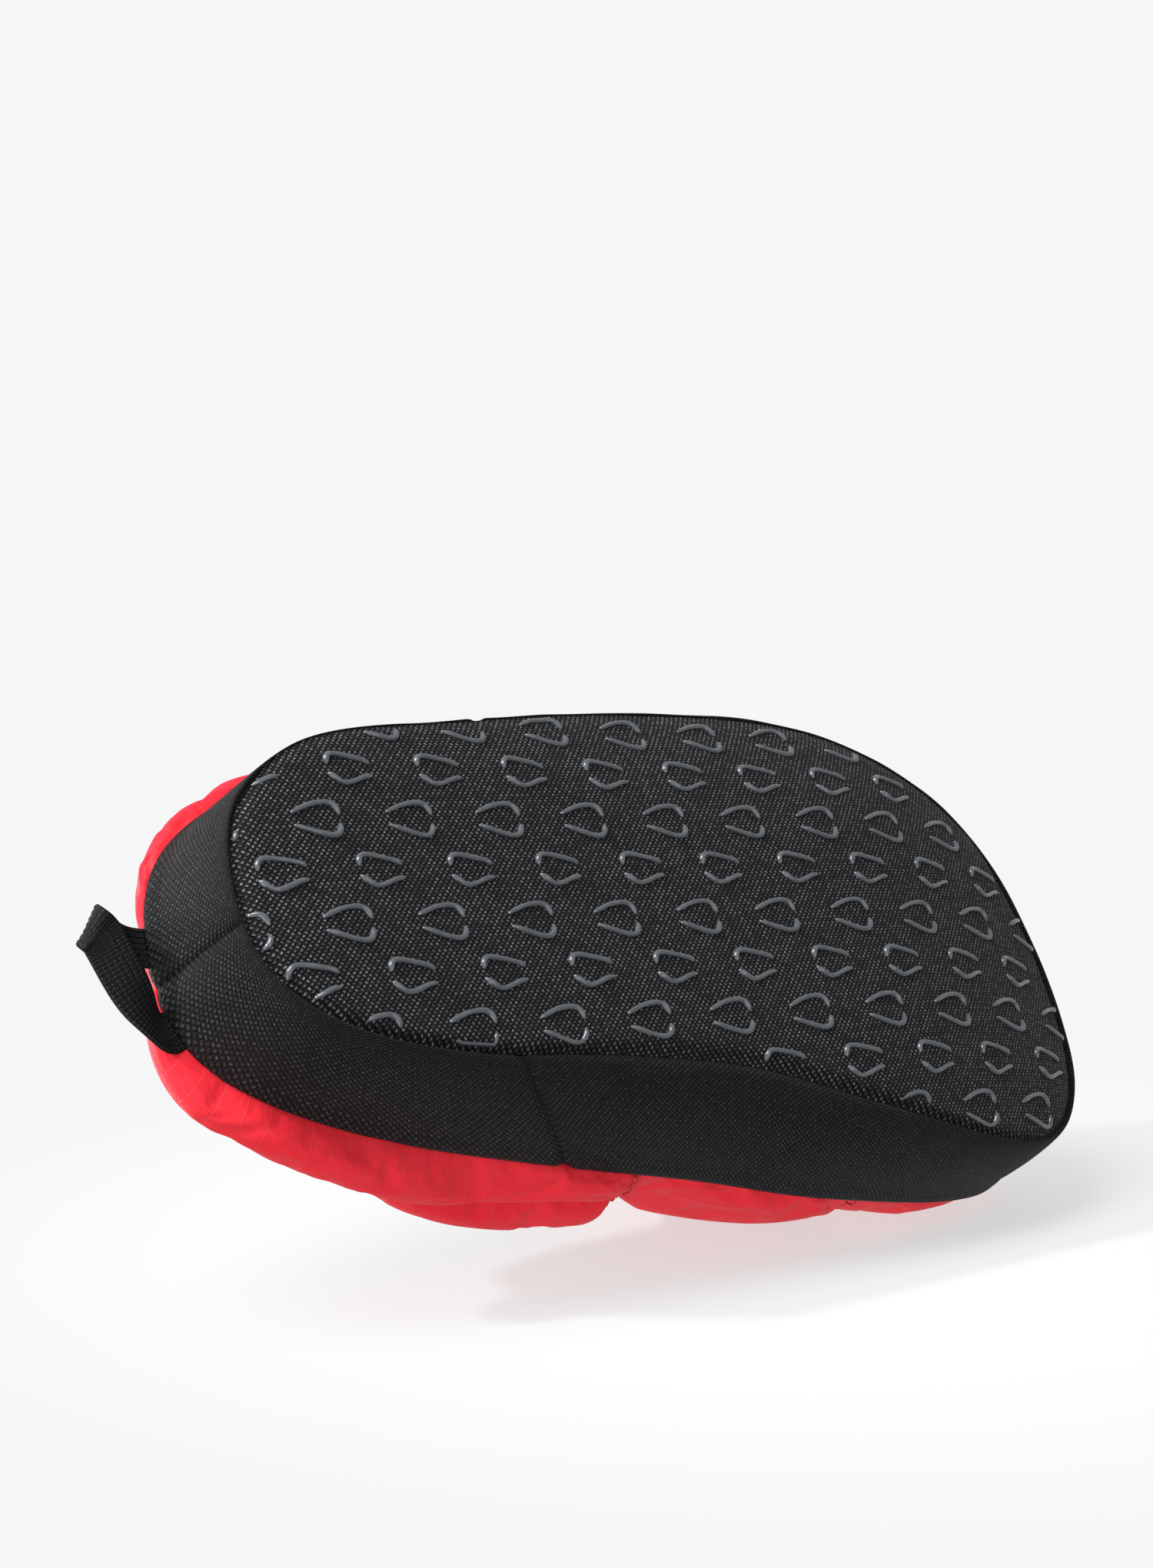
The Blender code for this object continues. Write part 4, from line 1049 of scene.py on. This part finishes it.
def build_binding(paint):
    """The knitted binding: a strip folded over the collar's edge, with its fold up and its two hems down."""
    middle = (SHELL_SHEET + COLLAR_FILL + LINING_SHEET + 2 * CLEARANCE) / 2
    count, sides = 360, 20
    frames = [collar_point(k / count) for k in range(count)]
    for _ in range(24):  # rounds the corners where quarters and vamp meet
        frames = [
            tuple((frames[k - 1][v] + 2 * frames[k][v] + frames[(k + 1) % count][v]) / 4 for v in range(3))
            for k in range(count)
        ]
    bm = bmesh.new()
    uv = bm.loops.layers.uv.new("metres")
    rings = []
    for k, (point, normal, up) in enumerate(frames):
        normal, up = normal / np.linalg.norm(normal), up / np.linalg.norm(up)
        core = point - normal * middle + up * (BINDING_RADIUS + CLEARANCE)
        rib = 0.12 * MM * math.cos(2 * math.pi * k * 160 / count)
        ring = []
        for s in range(sides):
            turn = 2 * math.pi * s / sides
            deep = 1.0 if math.sin(turn) > 0 else 1.35  # the hems reach down over shell and lining
            radius = BINDING_RADIUS + 0.25 * MM + rib
            ring.append(bm.verts.new(core + radius * (math.cos(turn) * normal + deep * math.sin(turn) * up)))
        rings.append(ring)
    for k in range(count):
        near, far = rings[k], rings[(k + 1) % count]
        for s in range(sides):
            corners = ((near, k, s), (near, k, s + 1), (far, k + 1, s + 1), (far, k + 1, s))
            face = bm.faces.new([ring[spot % sides] for ring, _, spot in corners])
            for loop, (_, row, spot) in zip(face.loops, corners):
                loop[uv].uv = (row * 1.0 * MM, spot * 0.9 * MM)
    finished("collar_binding_knit", bm, paint["binding"], replaces=("collar_binding",))


# ---- Pull loop ------------------------------------------------------------------------------------------

RIBS = 7  # along the webbing
RIB_RELIEF = 0.22 * MM


def loop_root(side):
    """(point, outward direction, width direction) of a sewn end of the loop: side -1 lateral, 1 medial."""
    u = HEEL_SEAM + side * LOOP_ROOT_SPACING / 2 / PERIMETER
    out = outward(u)
    return band_top(u) + out * LOOP_STANDOFF, out, np.cross(out, UP)


def build_loop(paint):
    """The pull loop: one ribbed strip from sewn end to sewn end, turned over at its fold."""
    start, out_a, along_a = (Vector(v) for v in loop_root(-1))
    end, out_b, along_b = (Vector(v) for v in loop_root(1))
    fold = (start + end) / 2 + LOOP_REACH
    away = LOOP_REACH.normalized()
    across = away.cross(LOOP_FOLD_AXIS).normalized()
    if across.dot(start - end) < 0:
        across = -across
    along_a = along_a if along_a.dot(LOOP_FOLD_AXIS) > 0 else -along_a
    along_b = along_b if along_b.dot(LOOP_FOLD_AXIS) > 0 else -along_b
    steps = 46

    def leg(root, out, turn, side):
        """Points and width directions from inside the seam to the fold's start."""
        near = fold + across * side * LOOP_FOLD_GAP / 2
        rows = [(root - out * depth, turn) for depth in (3.2 * MM, 2.4 * MM, 1.6 * MM, 0.8 * MM)]
        for i in range(steps):
            t = i / (steps - 1)
            h = (2 * t**3 - 3 * t**2 + 1, t**3 - 2 * t**2 + t, 3 * t**2 - 2 * t**3, t**3 - t**2)
            point = root * h[0] + out * LOOP_ROOT_PULL * h[1] + near * h[2] + away * LOOP_FOLD_PULL * h[3]
            rows.append((point, turn.lerp(LOOP_FOLD_AXIS, smooth(t * 1.1))))
        return rows

    rows = leg(start, out_a, along_a, 1)
    for angle in (math.radians(a) for a in range(15, 180, 15)):
        around_fold = across * math.cos(angle) + away * math.sin(angle)
        rows.append((fold + around_fold * LOOP_FOLD_GAP / 2, LOOP_FOLD_AXIS))
    rows += leg(end, out_b, along_b, -1)[::-1]

    def place(a, b, side):
        i = round(a * (len(rows) - 1))
        point, width = rows[i]
        ahead = rows[min(i + 1, len(rows) - 1)][0] - rows[max(i - 1, 0)][0]
        width = (width - ahead * width.dot(ahead) / ahead.length_squared).normalized()
        face = ahead.cross(width).normalized()
        rib = RIB_RELIEF * (abs(math.sin(math.pi * RIBS * b)) ** 0.6 - 1)
        thick = WEBBING_THICKNESS / 2 * (1 - 0.5 * max(abs(2 * b - 1) - 0.86, 0) / 0.14) + rib
        return point + width * (b - 0.5) * WEBBING_WIDTH + face * (1 if side else -1) * thick

    length = sum((q[0] - p[0]).length for p, q in zip(rows, rows[1:]))
    bm = closed_sheet(place, (len(rows) - 1, RIBS * 6), (length, WEBBING_WIDTH))
    piece = finished("pull_loop_webbing", bm, paint["webbing"], body=None,
                     replaces=("heel_pull_loop",))
    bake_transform(piece)


# ---- Stitching ------------------------------------------------------------------------------------------

STITCH = 2.6 * MM  # from one stitch to the next
THREAD = 0.30 * MM  # radius


def stitches(name, lines, paint, pitch=STITCH, radius=THREAD):
    """A row of stitches along each line of (point, normal): short arched threads that dip at both ends."""
    bm = bmesh.new()
    for line in lines:
        points = [Vector(p) for p, _ in line]
        reach = [0.0]
        for p, q in zip(points, points[1:]):
            reach.append(reach[-1] + (q - p).length)
        count = max(int(reach[-1] / pitch), 1)

        def at(distance):
            k = min(int(np.searchsorted(reach, distance)), len(reach) - 1)
            k = max(k, 1)
            t = (distance - reach[k - 1]) / max(reach[k] - reach[k - 1], 1e-9)
            return points[k - 1].lerp(points[k], t), Vector(line[k][1]).normalized()

        for number in range(count):
            path, radii, ups = [], [], []
            for step in range(7):
                t = step / 6
                spot, normal = at((number + 0.10 + 0.80 * t) * reach[-1] / count)
                path.append(spot + normal * (math.sin(math.pi * t) * 0.45 * MM - 0.15 * MM))
                radii.append(radius * (0.75 + 0.25 * math.sin(math.pi * t)))
                ups.append(normal)
            tube_mesh(bm, path, radii, 8, 1.0, ups)
    return finished(name, bm, paint)


def build_stitching(paint, quarters, vamps):
    """The upper's seams: the quilting line, the seam round the vamp and the one across it."""
    quilting, front = [], []
    for name, ends in (("medial", (HEEL_SEAM, FRONT_MEDIAL)), ("lateral", (FRONT_LATERAL, HEEL_SEAM))):
        grid = quarters[name]
        count = len(grid[0])
        rows = []
        for i in range(2, count - 2):
            u = mix(*ends, i / (count - 1))
            _, normal = quarter(u, quarter_share(u, 0.5))
            rows.append((grid[QUILT_ROW][i] + Vector(normal) * 0.35 * MM, normal))
        quilting.append(rows)
        edge = count - 1 if name == "medial" else 0
        u = ends[1] if name == "medial" else ends[0]
        inner = edge - 1 if name == "medial" else 1
        line = []
        for j in range(1, len(grid) - 1):
            _, normal = quarter(u, quarter_share(u, j / (len(grid) - 1)))
            line.append((grid[j][inner] + Vector(normal) * 0.5 * MM, normal))
        front.append(line)
    stitches("quilting_thread", quilting, paint["red_thread"])
    stitches("vamp_seam_thread", front, paint["red_thread"])
    across = []
    for j in range(3, len(vamps["toe"]) - 3):
        _, normal = vamp(VAMP_SEAM, j / (len(vamps["toe"]) - 1))
        across.append((vamps["toe"][j][1] + Vector(normal) * 0.5 * MM, normal))
    stitches("toe_seam_thread", [across], paint["red_thread"])


# ---- Floors, lights and camera --------------------------------------------------------------------------

# The camera looks up at the sole from the slipper's medial heel side
CAMERA = Vector((-0.5142, 0.3067, -0.5220))
VIEW_RIGHT = Vector((0.761, 0.242, -0.602))
VIEW_UP = Vector((-0.070, -0.892, -0.446))
VIEW_BACK = Vector((-0.645, 0.381, -0.662))
AIM_RIGHT, AIM_UP = -0.0368, 0.0435  # how far the camera is turned off the slipper
FLOOR_UP = Vector((-0.16, -0.83, -0.53)).normalized()  # of the floor that the slipper lies on in that view


def build_camera():
    """The camera, turned so that no shift is needed to frame the slipper low in the picture."""
    forward = (VIEW_RIGHT * AIM_RIGHT + VIEW_UP * AIM_UP - VIEW_BACK).normalized()
    right = forward.cross(VIEW_UP).normalized()
    up = right.cross(forward)
    turn = Matrix((right, up, -forward)).transposed()
    data = bpy.data.cameras.new("camera")
    data.lens = 75.05
    data.sensor_width = 36.0
    data.clip_start, data.clip_end = 0.01, 20.0
    camera = bpy.data.objects.new("camera", data)
    camera.matrix_world = Matrix.Translation(CAMERA) @ turn.to_4x4()
    collection.objects.link(camera)
    bpy.context.scene.camera = camera


SIDE_FLOOR_STRENGTH = 0.36  # it shows little more than the slipper's soft shadow


def one_sided(name, colour, fade, strength=1.0):
    """Matt white studio paper, seen from its front only. fade gives the radii where it grows clear."""
    material, tree, shader = start_finish(name, 0.9, Specular_IOR_Level=0.1)
    shader.inputs["Base Color"].default_value = linear(colour)
    clear = add(tree, "ShaderNodeBsdfTransparent").outputs[0]
    hidden = add(tree, "ShaderNodeNewGeometry").outputs["Backfacing"]
    place = add(tree, "ShaderNodeTexCoord").outputs["Object"]
    away = add(tree, "ShaderNodeVectorMath", {0: place}, operation="LENGTH").outputs["Value"]
    rim = add(tree, "ShaderNodeMapRange", {0: away, 1: fade[0], 2: fade[1], 3: 0.0, 4: 1.0},
              interpolation_type="SMOOTHSTEP").outputs[0]
    hidden = add(tree, "ShaderNodeMath", {0: hidden, 1: rim}, operation="MAXIMUM").outputs[0]
    hidden = add(tree, "ShaderNodeMapRange", {0: hidden, 3: 1 - strength}).outputs[0]
    mixed = add(tree, "ShaderNodeMixShader", {0: hidden, 1: shader.outputs[0], 2: clear}).outputs[0]
    tree.links.new(mixed, tree.nodes["Material Output"].inputs["Surface"])
    return material


def floor(name, middle, up, size, material):
    """A round floor facing up, which the lights shine through, so that it hides nothing from the sole."""
    bm = bmesh.new()
    bmesh.ops.create_circle(bm, cap_ends=True, segments=96, radius=size)
    mesh = bpy.data.meshes.new(name)
    bm.to_mesh(mesh)
    bm.free()
    mesh.materials.append(material)
    made = bpy.data.objects.new(name, mesh)
    made.matrix_world = Matrix.Translation(middle) @ up.to_track_quat("Z", "Y").to_matrix().to_4x4()
    made.visible_shadow = made.visible_diffuse = made.visible_glossy = made.visible_transmission = False
    collection.objects.link(made)


def softbox(name, toward, distance, size, power):
    """A square area light that shines on the slipper from that direction."""
    data = bpy.data.lights.new(name, "AREA")
    data.shape = "SQUARE"
    data.size = size
    data.energy = power
    light = bpy.data.objects.new(name, data)
    toward = toward.normalized()
    facing = toward.to_track_quat("Z", "Y").to_matrix().to_4x4()
    light.matrix_world = Matrix.Translation(toward * distance) @ facing
    collection.objects.link(light)


def build_stage():
    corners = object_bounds()
    floor("floor", Vector((0, 0, corners[0][2] - 0.2 * MM)), Vector((0, 0, 1)), 4.0,
          one_sided("matt white paper, floor", "#F4F4F4", (0.30, 1.10)))
    touch = max((Vector(p) for row in ALL_POINTS for p in row), key=lambda p: -(p @ FLOOR_UP))
    floor("side_floor", touch - FLOOR_UP * 1.5 * MM, FLOOR_UP, 0.9,
          one_sided("matt white paper, side floor", "#E8ECED", (0.04, 0.30), SIDE_FLOOR_STRENGTH))
    softbox("key", VIEW_BACK * 0.55 + VIEW_UP * 0.75 - VIEW_RIGHT * 0.35, 1.3, 0.7, 15)
    softbox("spark", VIEW_BACK * 0.5 + VIEW_UP * 0.5 - VIEW_RIGHT * 0.8, 1.2, 0.07, 13)
    softbox("low", VIEW_BACK * 0.8 - VIEW_UP * 0.7 - VIEW_RIGHT * 0.6, 1.4, 1.0, 9)
    softbox("fill", VIEW_BACK + VIEW_RIGHT * 0.6, 1.6, 1.2, 5)
    softbox("top", Vector((-0.2, -0.3, 1.0)), 1.4, 0.9, 8)
    world = bpy.data.worlds.new("studio")
    world.use_nodes = True
    tree = world.node_tree
    sky = tree.nodes["Background"]
    sky.inputs["Color"].default_value = linear("#F6F6F6")
    sky.inputs["Strength"].default_value = 0.52  # the light it gives
    seen = add(tree, "ShaderNodeBackground", {"Color": linear("#F6F6F6"), "Strength": 1.0})
    camera_ray = add(tree, "ShaderNodeLightPath").outputs["Is Camera Ray"]
    both = add(tree, "ShaderNodeMixShader", {0: camera_ray, 1: sky.outputs[0], 2: seen.outputs[0]})
    tree.links.new(both.outputs[0], tree.nodes["World Output"].inputs["Surface"])
    bpy.context.scene.world = world
    bpy.context.scene.view_settings.view_transform = "Standard"


# ---- The whole slipper ----------------------------------------------------------------------------------

paint = {
    # The outsole's and band's lighter colours are the painted highlight on their yarn crowns.
    "outsole": woven_polyester("woven polyester oxford, black, outsole", 52, "#050506", "#9C9CA2"),
    "band": woven_polyester("woven polyester oxford, black, band", 45, "#030304", "#525257"),
    "silicone": printed_silicone("printed silicone, blue-grey, glossy"),
    "shell": ripstop_nylon("ripstop nylon, red, calendered"),
    "lining": brushed_fleece("brushed fleece, charcoal, lining", "#26272A", "#3D3E42"),
    "fleece": brushed_fleece("brushed fleece, charcoal, footbed", "#2B2C2F", "#45464A"),
    # The binding's and webbing's lighter colours are the painted highlight on their cords' crowns.
    "binding": ribbed_cloth("knitted binding, black", 0.8 * MM, 0.8, "#0B0B0D", "#38383C"),
    "webbing": ribbed_cloth("ribbed nylon webbing, black", 0.7 * MM, 0.6, "#040405", "#18181B"),
    # The foam's darker colour is the painted shade in its cells' hollows.
    "foam": closed_cell_foam("EVA foam, grey, cut", "#3A3B3D", "#5B5C5F"),
    "board": pressed_fibre_board("cellulose board, brown, pressed"),
    # The thread's darker colour is the painted shade between its turns.
    "red_thread": twisted_thread("bonded polyester thread, red", "#A81C28", "#E23A46"),
}
for node, material in (
    ("midsole_foam", "foam"), ("insole_board", "board"), ("footbed_foam", "foam"), ("heel_counter", "board"),
    ("band_foam_heel", "foam"), ("band_foam_forefoot", "foam"),
):
    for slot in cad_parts[node].material_slots:
        slot.material = paint[material]

build_outsole(paint)
build_grip_prints(paint)
build_band(paint)
quarters = build_quarters(paint)
vamps = build_vamp(paint)
build_lining(paint)
build_footbed(paint)
build_binding(paint)
build_loop(paint)
build_stitching(paint, quarters, vamps)
ALL_POINTS = [row for grid in (*quarters.values(), *vamps.values()) for row in grid]
build_camera()
build_stage()
